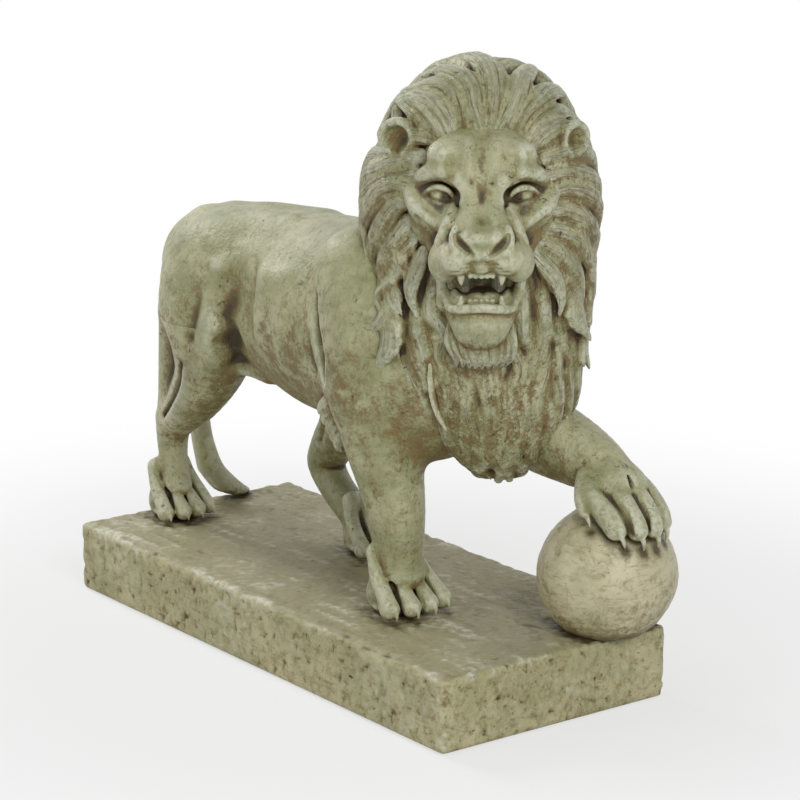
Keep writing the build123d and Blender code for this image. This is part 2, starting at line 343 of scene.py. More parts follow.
def make_tress(path, outward, radius, lift, strands, groove):
    """A flat tapering tress along a path, lifted out from it more and more towards the tip."""
    along = np.linspace(0, 1, len(path))
    body = 0.55 + 0.45 * np.sin(np.pi * np.clip(along * 1.2, 0, 1))
    radii = radius * body * np.sqrt(1.02 - along ** 2.4)
    path = path + outward * (radius * (lift[0] + (lift[1] - lift[0]) * along))[:, None]
    tangents = np.gradient(path, axis=0)
    across = np.cross(tangents, outward)
    across /= np.maximum(np.linalg.norm(across, axis=1, keepdims=True), 1e-6)
    return Tress(path, outward, across, radii, strands, groove)


def tress_form(tress):
    """A tress as a form: flat across, its top combed into strands with sharp grooves."""
    path, radii = tress.path, tress.radii
    low = (path - radii[:, None]).min(axis=0)
    high = (path + radii[:, None]).max(axis=0)

    def distance(x, y, h):
        best = None
        for i in range(len(path) - 1):
            a, step = path[i], path[i + 1] - path[i]
            px, py, ph = x - a[0], y - a[1], h - a[2]
            t = np.clip((px * step[0] + py * step[1] + ph * step[2]) / float(step @ step), 0, 1)
            px, py, ph = px - t * step[0], py - t * step[1], ph - t * step[2]
            out, side = tress.outward[i], tress.across[i]
            rise = px * out[0] + py * out[1] + ph * out[2]
            wide = px * side[0] + py * side[1] + ph * side[2]
            rest = px * px + py * py + ph * ph
            thick = radii[i] + t * (radii[i + 1] - radii[i])
            flat = np.sqrt(rest + 1.6 * rise * rise)
            comb = 1 - np.abs(np.cos(np.pi * tress.strands * wide / thick))
            gap = flat - thick * (1 - tress.groove * comb)
            best = gap if best is None else np.minimum(best, gap)
        return best * 0.8

    return Form(low, high, distance)


def block_space(low, high):
    """The signed distance of a box with its sides along the axes."""
    low, high = np.array(low, float), np.array(high, float)
    middle, half = (low + high) / 2, (high - low) / 2

    def distance(x, y, h):
        sides = [abs(value - middle[i]) - half[i] for i, value in enumerate((x, y, h))]
        return np.maximum(np.maximum(sides[0], sides[1]), sides[2])

    return distance


def joined(*spaces):
    """All the space of several spaces."""
    def distance(x, y, h):
        result = spaces[0](x, y, h)
        for space in spaces[1:]:
            result = np.minimum(result, space(x, y, h))
        return result

    return distance


def less(space, *others):
    """A space without several others."""
    rest = joined(*others)

    def distance(x, y, h):
        return np.maximum(space(x, y, h), -rest(x, y, h))

    return distance


# --------------------------------------------------------------------------------------------
# The lion's body, legs and tail
# --------------------------------------------------------------------------------------------
RIGHT, LEFT = -1, 1


def sculpt_trunk(figure):
    """Rump, loin, rib cage, chest and shoulders."""
    figure.add(lump((-262, 0, 308), (62, 68, 60)), 10)
    figure.add(lump((-205, 0, 306), (92, 80, 78)), 40)
    figure.add(lump((-120, 0, 302), (110, 78, 88)), 40)
    figure.add(lump((-20, 0, 292), (150, 98, 112)), 40)
    figure.add(lump((90, 0, 292), (120, 100, 128)), 40)
    figure.add(lump((140, 0, 262), (84, 84, 96)), 40)
    for side in (RIGHT, LEFT):
        figure.add(roll([(78, side * 58, 372, 40), (104, side * 62, 318, 50),
                         (128, side * 62, 266, 44)]), 24)
        figure.add(roll([(60, side * 60, 300, 38), (92, side * 66, 262, 36),
                         (110, side * 66, 232, 34)]), 20)
        figure.add(roll([(112, side * 74, 346, 26), (122, side * 82, 310, 28),
                         (118, side * 84, 268, 24)]), 18)
        figure.add(lump((-262, side * 30, 322), (52, 40, 52)), 24)
    for height in (366, 352):                                       # the muscles beside the spine
        for side in (LEFT, RIGHT):
            figure.add(roll([(-270, side * 16, height, 14), (-180, side * 22, height + 8, 18),
                             (-90, side * 24, height + 12, 18)]), 20)


def sculpt_right_foreleg(figure):
    """The standing foreleg: forearm muscles narrowing to the wrist."""
    figure.add(roll([(118, -60, 250, 50), (128, -57, 205, 44), (136, -54, 160, 36),
                     (143, -51, 112, 31), (146, -50, 70, 27), (149, -50, 44, 27)]), 18)
    figure.add(roll([(110, -80, 232, 22), (124, -76, 180, 22), (136, -66, 130, 18),
                     (143, -58, 88, 13)]), 12)
    figure.add(roll([(88, -58, 214, 24), (108, -54, 178, 19), (126, -50, 130, 16),
                     (132, -46, 92, 11)]), 12)
    figure.add(roll([(146, -78, 226, 14), (152, -72, 178, 14), (158, -60, 128, 11),
                     (162, -54, 84, 8)]), 12)
    figure.add(lump((116, -46, 82), (12, 12, 16)), 10)
    figure.cut(roll([(120, -98, 226, 2), (137, -88, 180, 3), (150, -74, 140, 2)]), 9)


def sculpt_left_foreleg(figure):
    """The raised foreleg, reaching forward to the ball."""
    figure.add(roll([(130, 60, 262, 52), (172, 74, 222, 46), (222, 86, 198, 40), (272, 95, 184, 34),
                     (308, 98, 172, 29), (328, 98, 158, 26)]), 18)
    figure.add(roll([(190, 58, 232, 22), (236, 70, 214, 20), (284, 82, 196, 15),
                     (312, 88, 184, 10)]), 12)
    figure.add(roll([(180, 66, 190, 24), (228, 80, 172, 20), (270, 92, 160, 15)]), 12)
    figure.cut(roll([(200, 50, 206, 2), (242, 62, 190, 3), (280, 74, 178, 2)]), 8)


def sculpt_right_hind_leg(figure):
    """The right haunch, its thigh, and the leg below with heel and tendon."""
    figure.add(lump((-202, -48, 296), (76, 46, 84)), 22)
    figure.add(lump((-226, -50, 290), (56, 48, 66)), 20)
    figure.add(roll([(-224, -50, 276, 54), (-206, -56, 232, 48), (-214, -57, 200, 40),
                     (-246, -56, 162, 32), (-284, -53, 132, 25), (-304, -51, 108, 20),
                     (-307, -49, 70, 17), (-304, -48, 40, 19)]), 18)
    figure.add(roll([(-150, -78, 330, 14), (-148, -84, 290, 20), (-162, -82, 250, 22),
                     (-186, -78, 210, 18), (-222, -72, 172, 12)]), 14)
    figure.add(roll([(-262, -66, 262, 24), (-272, -66, 210, 20), (-290, -62, 164, 15),
                     (-312, -56, 130, 9)]), 12)
    figure.add(lump((-317, -51, 120), (13, 12, 19)), 9)
    figure.cut(roll([(-176, -112, 352, 2), (-178, -108, 300, 4), (-186, -104, 252, 3)]), 12)
    figure.cut(roll([(-206, -98, 216, 2), (-226, -92, 186, 3), (-258, -82, 156, 3),
                     (-284, -74, 134, 2)]), 8)
    figure.cut(roll([(-118, -92, 338, 3), (-122, -90, 306, 5), (-132, -88, 284, 4),
                     (-124, -84, 262, 3)]), 12)
    figure.cut(lump((-128, -88, 246), (18, 16, 20)), 16)
    figure.add(roll([(-172, -60, 214, 10), (-140, -52, 216, 9), (-108, -46, 214, 10)]), 12)


def sculpt_left_hind_leg(figure):
    """The left hind leg, stepping forward under the belly."""
    figure.add(lump((-176, 50, 284), (60, 48, 62)), 24)
    figure.add(roll([(-176, 50, 286, 56), (-132, 55, 236, 52), (-92, 57, 196, 42),
                     (-96, 56, 150, 32), (-122, 54, 112, 26), (-134, 53, 88, 22),
                     (-112, 53, 62, 20), (-78, 54, 40, 20)]), 20)
    figure.add(roll([(-84, 44, 208, 22), (-66, 44, 176, 18), (-82, 44, 138, 14)]), 12)
    figure.add(lump((-146, 53, 90), (13, 12, 17)), 9)
    figure.cut(roll([(-104, 24, 190, 2), (-98, 24, 160, 3), (-112, 28, 124, 2)]), 8)


def sculpt_tail(figure):
    """The tail, hanging to its tuft on the plinth."""
    figure.add(roll([(-296, 0, 326, 26), (-322, 2, 304, 19), (-338, 5, 262, 15), (-342, 8, 200, 13),
                     (-343, 10, 140, 12), (-342, 14, 86, 13), (-339, 22, 46, 15)]), 12)
    for turn in range(7):                                           # locks of the tuft
        angle = 2 * math.pi * turn / 7
        out, up = 9 * math.cos(angle), 7 * math.sin(angle)
        figure.add(roll([(-341 + out, 16, 78, 7), (-339 + 1.2 * out, 24 + up * 0.3, 44, 10),
                         (-336 + 1.3 * out, 42 + up, 20, 9), (-337 + out, 62 + 0.6 * up, 9, 6),
                         (-339, 76, 4, 3)]), 3)


def sculpt_flank(figure):
    """Folds of skin before the haunch and behind the shoulder, and the ribs."""
    for side in (RIGHT, LEFT):
        figure.cut(lump((-104, side * 104, 318), (44, 20, 40)), 26)
        for x, lean in ((-52, 8), (-20, 10)):
            figure.add(roll([(x, side * 80, 340, 9), (x + lean, side * 90, 300, 10),
                             (x + lean, side * 78, 256, 8)]), 24)
        figure.cut(roll([(34, side * 108, 344, 2), (46, side * 108, 300, 5),
                         (58, side * 102, 262, 4)]), 14)
        figure.cut(roll([(66, side * 103, 344, 2), (74, side * 106, 318, 4),
                         (84, side * 106, 286, 5), (92, side * 101, 254, 4),
                         (96, side * 92, 232, 2)]), 9)
        # fold of skin down to a tuft of hair behind the elbow
        figure.add(roll([(84, side * 92, 316, 3), (76, side * 94, 282, 5), (74, side * 88, 250, 6),
                         (80, side * 82, 226, 6)]), 8)
        for strand in range(5):
            path = smooth_path([(92 - strand, side * (80 - strand), 238 - 9 * strand),
                                (74 + strand, side * (89 - 2 * strand), 228 - 10 * strand),
                                (54 + 4 * strand, side * (88 - 3 * strand), 213 - 10 * strand),
                                (42 + 7 * strand, side * (80 - 3 * strand), 200 - 9 * strand)], 3)
            outward = np.tile((-0.3, side * 0.95, 0.0), (len(path), 1))
            figure.comb_in(make_tress(path, outward, 9.0, (0.0, 0.2), 1.6, 0.2), 2.0)


# --------------------------------------------------------------------------------------------
# Paws
# --------------------------------------------------------------------------------------------
TOE_LANES = (-1.5, -0.5, 0.5, 1.5)                 # four toes, counted from the paw's middle,
GAP_LANES = (-1, 0, 1)                             # and the gaps between them
BALL_TOE_SPACING = 19.0


def sculpt_claw(figure, root, bend, tip, width):
    """A curved claw, from its root over a bend to its tip."""
    figure.add(roll([(*root, width), (*bend, 0.8 * width), (*tip, 0.3 * width)]), 0.8)


def sculpt_standing_paw(figure, heel, spread, size=1.0):
    """A paw on the plinth: long bones with deep gaps, round knuckled toes, and hooked claws."""
    heel = np.array([*heel, 0.0])
    ahead, across = np.array([1.0, 0, 0]), np.array([0, 1.0, 0])
    figure.add(lump(heel + UP * 20 * size, (25 * size, spread * 1.36, 22 * size)), 10)
    figure.add(lump(heel + UP * 42 * size - ahead * 2, (19 * size, spread * 1.12, 26 * size)), 10)
    figure.add(lump(heel + UP * 8 * size + ahead * 12, (30 * size, spread * 1.42, 10 * size)), 8)
    for lane in TOE_LANES:
        reach = size * (1.0 - 0.075 * lane * lane)
        side = across * lane * spread
        wrist = heel + side * 0.66 + UP * 66 * size - ahead * 2
        root = heel + side * 0.86 + UP * 42 * size + ahead * 16 * reach
        knuckle = heel + side * 0.98 + UP * 25 * size + ahead * 38 * reach
        tip = heel + side * 1.04 + UP * 15 * size + ahead * 50 * reach
        figure.add(roll([(*wrist, 9.5 * size), (*root, 9.4 * size), (*knuckle, 9.8 * size),
                         (*tip, 11.4 * size)]), 1.6)
        front = tip + ahead * 10 * size
        sculpt_claw(figure, front + UP * 4 * size, front + ahead * 3 * size - UP * 4 * size,
                    front + ahead * 1.6 * size - UP * 14 * size, 2.8 * size)
    for lane in GAP_LANES:
        side = across * lane * spread
        figure.cut(roll([(*(heel + side * 0.7 + UP * 58 * size + ahead * 12), 1.5 * size),
                         (*(heel + side * 0.85 + UP * 42 * size + ahead * 22 * size), 3.4 * size),
                         (*(heel + side + UP * 24 * size + ahead * 36 * size), 3.8 * size),
                         (*(heel + side + UP * 7 * size + ahead * 46 * size), 3.0 * size)]), 3)
    for side in (-1, 1):                                            # wrist knobs
        figure.add(lump(heel + across * side * spread * 0.86 + ahead * 2 + UP * 68 * size,
                        (9 * size, 7 * size, 10 * size)), 10)


def on_ball(forward_degrees, sideways, lift):
    """A place over the ball: turned forward from its top, off to a side, and lifted off it."""
    turn = math.radians(forward_degrees)
    drop = sideways / BALL_RADIUS
    way = np.array([math.sin(turn), drop, math.cos(turn) - 0.5 * drop * drop])
    return BALL_MIDDLE + (BALL_RADIUS + lift) * way / np.linalg.norm(way)


def sculpt_ball_paw(figure):
    """The raised paw, its knuckled toes hanging over the front of the ball."""
    middle = 2.0
    figure.add(lump((330, 97, 156), (33, 37, 27)), 8)
    for lane in TOE_LANES:
        side = middle + lane * BALL_TOE_SPACING
        back = 4.0 * lane * lane
        figure.add(roll([(318, 98 + lane * 12, 172, 9),
                         (*on_ball(9 - back * 0.5, side * 0.9, 24), 11.5),
                         (*on_ball(24 - back, side, 17), 12), (*on_ball(36 - back, side, 11), 13),
                         (*on_ball(43 - back, side, 8), 12)]), 1.8)
        sculpt_claw(figure, on_ball(49 - back, side, 11), on_ball(55 - back, side, 7),
                    on_ball(60 - back, side, 0.5), 3.0)
    for lane in GAP_LANES:
        side = middle + lane * BALL_TOE_SPACING
        figure.cut(roll([(*on_ball(10, side, 41), 1.5), (*on_ball(22, side, 30), 3.4),
                         (*on_ball(34, side, 21), 4.2), (*on_ball(44, side, 10), 3.6)]), 3)
    figure.add(roll([(314, 72, 166, 12), (324, 60, 158, 11), (333, 52, 148, 10),
                     (338, 50, 140, 8)]), 4)
    sculpt_claw(figure, (342, 46, 138), (348, 46, 132), (350, 47, 121), 3.0)


def sculpt_body():
    """The whole body, as one figure."""
    figure = Sculpture()
    sculpt_trunk(figure)
    sculpt_right_foreleg(figure)
    sculpt_left_foreleg(figure)
    sculpt_right_hind_leg(figure)
    sculpt_left_hind_leg(figure)
    sculpt_tail(figure)
    sculpt_flank(figure)
    sculpt_standing_paw(figure, (134, -50), 22.5)
    sculpt_standing_paw(figure, (-322, -46), 19.5, 0.92)
    sculpt_standing_paw(figure, (-60, 54), 19.5, 0.92)
    sculpt_ball_paw(figure)
    return figure


# --------------------------------------------------------------------------------------------
# The head
# --------------------------------------------------------------------------------------------
def sculpt_skull(figure):
    """Skull, cheeks, forehead and brow."""
    figure.add(head_lump((32, 0, 464), (76, 75, 82)), 6)
    figure.add(head_lump((66, 0, 500), (38, 58, 40)), 16)
    figure.add(head_lump((96, 0, 430), (52, 48, 46)), 22)
    both(figure.add, head_lump, (58, 46, 446), (40, 31, 44), 14)
    # forehead lobes, and the soft furrow between them
    both(figure.add, head_lump, (82, 24, 512), (26, 22, 22), 10)
    both(figure.add, head_roll, [(94, 15, 512, 14), (104, 14, 500, 12), (110, 12, 486, 11),
                                 (110, 11, 474, 10)], 13)
    figure.cut(head_roll([(104, 0, 540, 1), (119, 0, 524, 1.5), (130, 0, 508, 1.5),
                          (133, 0, 494, 1)]), 18)
    # brow ridges, dropping to the bridge of the nose
    both(figure.add, head_roll, [(70, 65, 482, 6), (90, 59, 490, 8), (101, 47, 496, 10),
                                 (107, 35, 495, 10), (110, 24, 485, 9), (112, 17, 472, 8)], 11)
    both(figure.add, head_lump, (98, 40, 514), (16, 16, 13), 12)
    both(figure.cut, head_roll, [(118, 33, 512, 2), (120, 34, 502, 3.5), (117, 33, 491, 3)], 8)
    both(figure.cut, head_roll, [(124, 13, 506, 1), (124, 12, 496, 2), (120, 11, 486, 1)], 6)
    # cheekbones
    both(figure.add, head_roll, [(68, 73, 468, 9), (86, 66, 456, 10), (98, 54, 446, 10),
                                 (108, 40, 440, 8)], 10)
    both(figure.cut, head_roll, [(98, 68, 446, 1), (109, 56, 436, 2), (115, 45, 428, 2)], 10)


def sculpt_eyes(figure):
    """Deep sockets, and narrow heavy-lidded eyes that slant down to the nose."""
    both(figure.cut, head_lump, (117, 40, 473.5), (23, 17, 9.5), 6)
    both(figure.cut, head_roll, [(118, 21, 458, 1.5), (116, 24, 466, 3.2), (114, 29, 476, 3)], 5)
    both(figure.add, head_lump, (89, 41, 470), (14.5, 13.5, 9.5), 1)
    both(figure.cut, head_lump, (104.5, 40, 470), (2.6, 3.6, 3.6), 2)
    both(figure.add, head_roll, [(88, 59, 470, 2.2), (96, 51, 477, 3.2), (102, 42, 479, 3.6),
                                 (104, 33, 475, 3.2), (105, 27, 467, 2.6), (106, 22, 460, 1.8)],
         1.5)
    both(figure.add, head_roll, [(88, 59, 470, 1.8), (96, 51, 464, 2.5), (101, 42, 461.5, 2.8),
                                 (104, 33, 461, 2.5), (106, 25, 460, 2.0)], 1.5)
    both(figure.cut, head_roll, [(101, 60, 482, 1), (110, 48, 487, 2), (114, 37, 486, 2),
                                 (116, 28, 479, 1)], 4)


def sculpt_nose(figure):
    """The broad bridge, the nose leather and its nostrils, and the snarl folds beside it."""
    both(figure.add, head_roll, [(100, 12, 482, 12), (113, 12, 468, 12), (127, 11, 453, 12.5),
                                 (141, 12, 441, 12.5), (149, 14, 434, 11)], 6)
    figure.add(head_lump((146, 0, 434), (18, 24, 12)), 6)
    figure.add(head_lump((155, 0, 421), (10, 20, 11)), 5)
    both(figure.add, head_roll, [(108, 24, 458, 3), (119, 29, 450, 4), (129, 36, 441, 5),
                                 (130, 43, 428, 5)], 13)
    both(figure.add, head_roll, [(136, 23, 445, 5), (147, 27, 441, 6), (154, 28, 433, 6),
                                 (156, 25, 424, 5)], 4)
    both(figure.cut, head_roll, [(124, 25, 462, 1), (135, 30, 454, 1.2), (146, 35, 445, 1.8),
                                 (151, 38, 434, 2.0), (153, 36, 425, 1.8)], 6)
    # nostrils curl under the wings, the nose pad between them cleft
    both(figure.cut, head_roll, [(154, 27, 439, 2.5), (159, 23, 432, 5.0), (161, 17, 425, 5.0),
                                 (164, 10, 420, 3.0)], 2)
    both(figure.cut, head_roll, [(167, 5, 411, 2.2), (164, 17, 412, 2.6), (158, 29, 416, 2.8),
                                 (150, 39, 422, 2.0)], 3)
    figure.cut(head_roll([(163, 0, 447, 0.5), (168, 0, 432, 2), (168, 0, 420, 2.2),
                          (168, 0, 412, 1.5)]), 4)


def sculpt_muzzle(figure):
    """Upper lips, chin, the open mouth and its teeth."""
    both(figure.add, head_lump, (130, 24, 413), (34, 24, 20), 7)
    both(figure.add, head_lump, (119, 38, 405), (27, 17, 21), 8)
    figure.add(head_lump((130, 0, 408), (31, 16, 15)), 5)
    figure.cut(head_roll([(166, 0, 414, 1.4), (165, 0, 405, 2.2), (160, 0, 396, 2.0)]), 4)
    for row in range(3):                                            # whisker rows
        for stations in pair([(160 - row, 14, 410 - 5 * row, 0.8),
                              (158 - row, 26, 412 - 5 * row, 1.3),
                              (147 - row, 38, 413 - 5 * row, 0.8)]):
            figure.cut(head_roll(stations), 2.5)
    figure.add(head_lump((88, 0, 350), (54, 38, 34)), 10)
    figure.add(head_lump((120, 0, 343), (28, 31, 25)), 9)
    figure.add(head_lump((126, 0, 330), (17, 25, 17)), 9)
    # mouth
    figure.cut(head_lump((130, 0, 382), (50, 29, 15)), 4)
    figure.cut(head_lump((110, 0, 382), (36, 33, 18)), 4)
    figure.cut(head_lump((140, 0, 386), (30, 25, 13)), 4)
    # lower lip with its rim, gum and tongue
    figure.add(head_roll([(96, -36, 364, 4), (120, -33, 357, 4.5), (137, -25, 358, 5),
                          (146, -12, 361, 5), (148, 0, 362, 5), (146, 12, 361, 5),
                          (137, 25, 358, 5), (120, 33, 357, 4.5), (96, 36, 364, 4)]), 3)
    figure.cut(head_roll([(124, -36, 348, 1.5), (144, -22, 349, 2.5), (152, 0, 351, 2.5),
                          (144, 22, 349, 2.5), (124, 36, 348, 1.5)]), 6)
    figure.add(head_lump((112, 0, 362), (26, 24, 9)), 4)
    figure.add(head_lump((112, 2, 369), (26, 16, 7)), 3)
    figure.cut(head_roll([(94, 2, 378, 1), (114, 2, 377, 1.8), (134, 2, 373, 1)]), 3)
    # jaw flanks beside the open mouth
    both(figure.add, head_roll, [(86, 44, 412, 9), (88, 42, 392, 7), (90, 40, 374, 7),
                                 (92, 38, 356, 9)], 9)
    both(figure.cut, head_roll, [(114, 41, 397, 2), (114, 40, 384, 3), (112, 41, 370, 2)], 4)
    # teeth
    both(figure.add, head_roll, [(143, 21, 403, 4.6), (146, 21, 394, 3.8), (146, 20.5, 386, 1.6)],
         1.5)
    both(figure.add, head_roll, [(135, 21, 358, 4.2), (138, 21, 366, 3.2), (138, 20.5, 373, 1.4)],
         1.5)
    for lane in range(-2, 3):
        back = abs(lane)
        figure.add(head_roll([(148 - back, lane * 5.8, 403, 3.4),
                              (149 - back, lane * 5.8, 395, 2.7)]), 0.8)
        figure.add(head_roll([(139 - back, lane * 5.8, 360, 3.2),
                              (140 - back, lane * 5.8, 368, 2.5)]), 0.8)


def sculpt_beard(figure):
    """Short locks under the chin and on the jaw."""
    for lane in range(-4, 5):
        side = lane * 7.8
        back = 0.9 * lane * lane
        path = smooth_path([head(124 - back, side, 334), head(131 - back, side * 0.98, 320),
                            head(127 - back, side * 0.9 + 3, 303),
                            head(114 - back, side * 0.8, 288)], 3)
        outward = np.tile(FORWARD, (len(path), 1))
        figure.comb_in(make_tress(path, outward, 8.5, (-0.3, 0.2), 2.1, 0.22), 1.5)


def sculpt_head():
    """The face, as one figure."""
    figure = Sculpture()
    sculpt_skull(figure)
    sculpt_nose(figure)
    sculpt_eyes(figure)
    sculpt_muzzle(figure)
    sculpt_beard(figure)
    return figure


def sculpt_ears(figure):
    """Cupped ears, open to the front, standing in the mane."""
    for side, place, radii, lean in ((-1, (52, -88, 524), (13, 22, 20), 0.35),
                                     (1, (46, 97, 522), (12, 18, 19), 0.55)):
        middle = head(*place)
        facing = FORWARD + SIDEWAYS * side * lean
        facing = facing / np.linalg.norm(facing)
        top = UP * 0.92 + SIDEWAYS * side * 0.3
        across = np.cross(top, facing)
        axes = [facing, across / np.linalg.norm(across), top / np.linalg.norm(top)]
        figure.add(lump(middle, radii, axes), 4)
        cup = np.array(radii) * (0.9, 0.72, 0.74)
        figure.cut(lump(middle + facing * 10 - UP * 1.5, cup, axes), 1.5)
        figure.cut(lump(middle + facing * 14 - UP * radii[2] * 0.7, cup * (1, 0.45, 0.5), axes), 3)


# --------------------------------------------------------------------------------------------
# The mane
# --------------------------------------------------------------------------------------------
MANE_FORMS = [head_lump(place, radii) for place, radii in (
    ((-4, 0, 498), (84, 97, 89)),
    ((-6, 0, 438), (90, 114, 106)),
    ((12, 2, 352), (86, 104, 112)),
    ((28, -42, 300), (62, 72, 78)),
    ((32, 12, 268), (58, 92, 86)),
    ((40, 15, 236), (42, 62, 62)),
    ((44, 22, 202), (28, 30, 48)),
    ((-52, -8, 400), (70, 96, 112)),
)]
FACE_PLANE = 98.0                                  # forward of the head's middle
FRONT_TILT = math.radians(14.0)                    # the front drawing looks down by this much
FRONT = FORWARD * math.cos(FRONT_TILT) + UP * math.sin(FRONT_TILT)


def mane_depth(points):
    """Signed distance of points from the mane's smooth base."""
    x, y, h = points[:, 0], points[:, 1], points[:, 2]
    depth = MANE_FORMS[0].distance(x, y, h)
    for form in MANE_FORMS[1:]:
        depth = smooth_min(depth, form.distance(x, y, h), 30)
    return depth


def mane_outward(points):
    """Outward directions of the mane's base at points."""
    nudge = 0.5
    slopes = [mane_depth(points + nudge * np.eye(3)[i]) - mane_depth(points - nudge * np.eye(3)[i])
              for i in range(3)]
    slopes = np.stack(slopes, axis=1)
    return slopes / np.maximum(np.linalg.norm(slopes, axis=1, keepdims=True), 1e-6)


def on_mane(points):
    """Points moved on to the mane's base."""
    for _ in range(4):
        points = points - mane_outward(points) * mane_depth(points)[:, None]
    return points


def seen_from_front(sideways, height):
    """The place on the mane that a front drawing shows at (sideways, height), or the edge by it."""
    reach = np.arange(60.0, -130.0, -2.0)[:, None]
    line = head(FACE_PLANE, sideways, height) + FRONT * reach
    depth = mane_depth(line)
    inside = np.nonzero(depth < 0)[0]
    return line[inside[0]] if len(inside) else line[np.argmin(depth)]


def hair_flow(points):
    """The way the hair lies: away from the face above, falling lower down."""
    centre = head(10, 0, 462)
    reach = points - centre
    forward = reach @ FORWARD
    radial = reach - forward[:, None] * FORWARD
    radial /= np.maximum(np.linalg.norm(radial, axis=1, keepdims=True), 1e-6)
    rise = radial @ UP
    fall = np.clip(0.75 - 1.1 * rise, 0.0, 1.6)[:, None]
    spread = np.clip(0.75 + 0.5 * rise, 0.12, 1.0)[:, None]
    back = np.where(forward > 0, 0.45, 0.25)[:, None] * np.clip(0.4 + rise, 0.05, 1)[:, None]
    behind = np.clip(-forward / 60, 0, 1)[:, None]
    flow = radial * spread * (1 - 0.8 * behind) - UP * (fall + behind) - FORWARD * back
    return flow / np.maximum(np.linalg.norm(flow, axis=1, keepdims=True), 1e-6)


def lock_paths(starts, lengths, curls, phases, steps=11):
    """Paths of many locks at once, each flowing along the mane from its start."""
    points = on_mane(starts)
    paths = [points]
    for i in range(1, steps):
        along = (i - 0.5) / (steps - 1)
        outward = mane_outward(points)
        flow = hair_flow(points)
        flow = flow - (flow * outward).sum(axis=1, keepdims=True) * outward
        flow /= np.maximum(np.linalg.norm(flow, axis=1, keepdims=True), 1e-6)
        across = np.cross(outward, flow)
        swing = curls * np.sin(2 * np.pi * along * 0.9 + phases)
        way = flow + across * swing[:, None]
        way /= np.linalg.norm(way, axis=1, keepdims=True)
        points = on_mane(points + way * (lengths / (steps - 1))[:, None])
        paths.append(points)
    return np.stack(paths, axis=1)


def add_lock(figure, path, radius, lift, strands, groove, blend=1.2):
    """One carved lock of hair, lying on the mane."""
    path = on_mane(path)
    figure.comb_in(make_tress(path, mane_outward(path), radius, lift, strands, groove), blend)


# Great locks round the face, as a front drawing has them: (sideways, height) from root to tip,
# with the lock's half width. Negative is the lion's right.
RIGHT_LOCKS = (
    (14, (-2, 541), (-8, 560), (-12, 579), (-26, 592), (-43, 598), (-58, 589)),
    (14, (9, 543), (12, 568), (10, 590), (0, 607), (-18, 616), (-40, 606)),
    (13, (-18, 539), (-20, 558), (-28, 577), (-43, 583), (-60, 582), (-78, 577)),
    (15, (-30, 532), (-36, 548), (-46, 562), (-64, 570), (-80, 566)),
    (12, (-40, 534), (-50, 548), (-64, 564), (-78, 573), (-90, 563)),
    (9, (-43, 528), (-58, 534), (-70, 532), (-79, 519), (-84, 508)),
    (12, (-60, 513), (-76, 510), (-94, 502), (-112, 492), (-126, 478), (-132, 460)),
    (13, (-88, 512), (-106, 514), (-121, 506), (-130, 490), (-136, 470), (-138, 450)),
    (12, (-68, 498), (-86, 495), (-104, 484), (-117, 464), (-128, 440), (-132, 414)),
    (13, (-72, 482), (-86, 485), (-99, 476), (-109, 456), (-119, 424), (-120, 388), (-110, 352)),
    (12, (-74, 466), (-84, 464), (-95, 445), (-103, 420), (-106, 388), (-100, 360), (-92, 338)),
    (11, (-74, 446), (-80, 432), (-89, 416), (-95, 394), (-92, 368), (-82, 342)),
    (10, (-68, 427), (-75, 416), (-84, 404), (-86, 386), (-84, 362), (-74, 338)),
    (9, (-58, 413), (-63, 396), (-68, 378), (-68, 358), (-60, 336)),
)
LEFT_LOCKS = (
    (13, (18, 539), (26, 553), (33, 572), (38, 590), (50, 602), (64, 596)),
    (12, (32, 536), (40, 552), (52, 568), (66, 580), (82, 578), (92, 560)),
    (11, (41, 528), (53, 544), (67, 556), (80, 560), (92, 552)),
    (13, (46, 526), (56, 538), (70, 546), (86, 544)),
    (9, (52, 521), (64, 526), (75, 536), (86, 544)),
    (12, (64, 511), (78, 516), (94, 520), (108, 511), (119, 496), (128, 476)),
    (12, (66, 493), (80, 498), (99, 493), (115, 484), (126, 466), (131, 442)),
    (12, (70, 477), (85, 482), (103, 476), (116, 458), (123, 434), (124, 406)),
    (12, (71, 458), (85, 458), (100, 447), (112, 426), (117, 400), (119, 374)),
    (12, (67, 436), (80, 434), (96, 420), (107, 400), (112, 376), (109, 350)),
    (11, (60, 422), (72, 416), (85, 404), (94, 384), (96, 362), (91, 338)),
    (10, (56, 410), (65, 398), (74, 382), (78, 362), (74, 340)),
)
GREAT_LOCK_WIDTH = 1.35      # times the width drawn,
GREAT_LOCK_LIFT = (0.3, 0.75)                      # lifted from root to tip by these shares of it
CROWN_ROW, LAST_ROW, ROW_DROP = 584, 352, 28       # heights of the rows of shorter locks
LOCK_SPACING = 27
LOCK_LENGTHS, LOCK_WIDTHS = (84, 124), (14.0, 19.0)
LOCK_CURLS, LOCK_LIFTS = (0.45, 0.95), (0.4, 1.15)
RUFF_ROWS = ((386, 60, 15), (362, 66, 17), (336, 74, 17), (310, 78, 16), (284, 78, 15),
             (258, 74, 13), (232, 68, 10), (208, 60, 7))   # height, forward, number of strands
RUFF_POINT = 152             # the height that no strand of the ruff goes below


def sculpt_great_locks(figure):
    """The long locks that sweep from the face, over the shorter ones."""
    for width, *drawn in RIGHT_LOCKS + LEFT_LOCKS:
        path = smooth_path([seen_from_front(*point) for point in drawn], 3)
        add_lock(figure, path, GREAT_LOCK_WIDTH * width, GREAT_LOCK_LIFT, 2.6, 0.15)


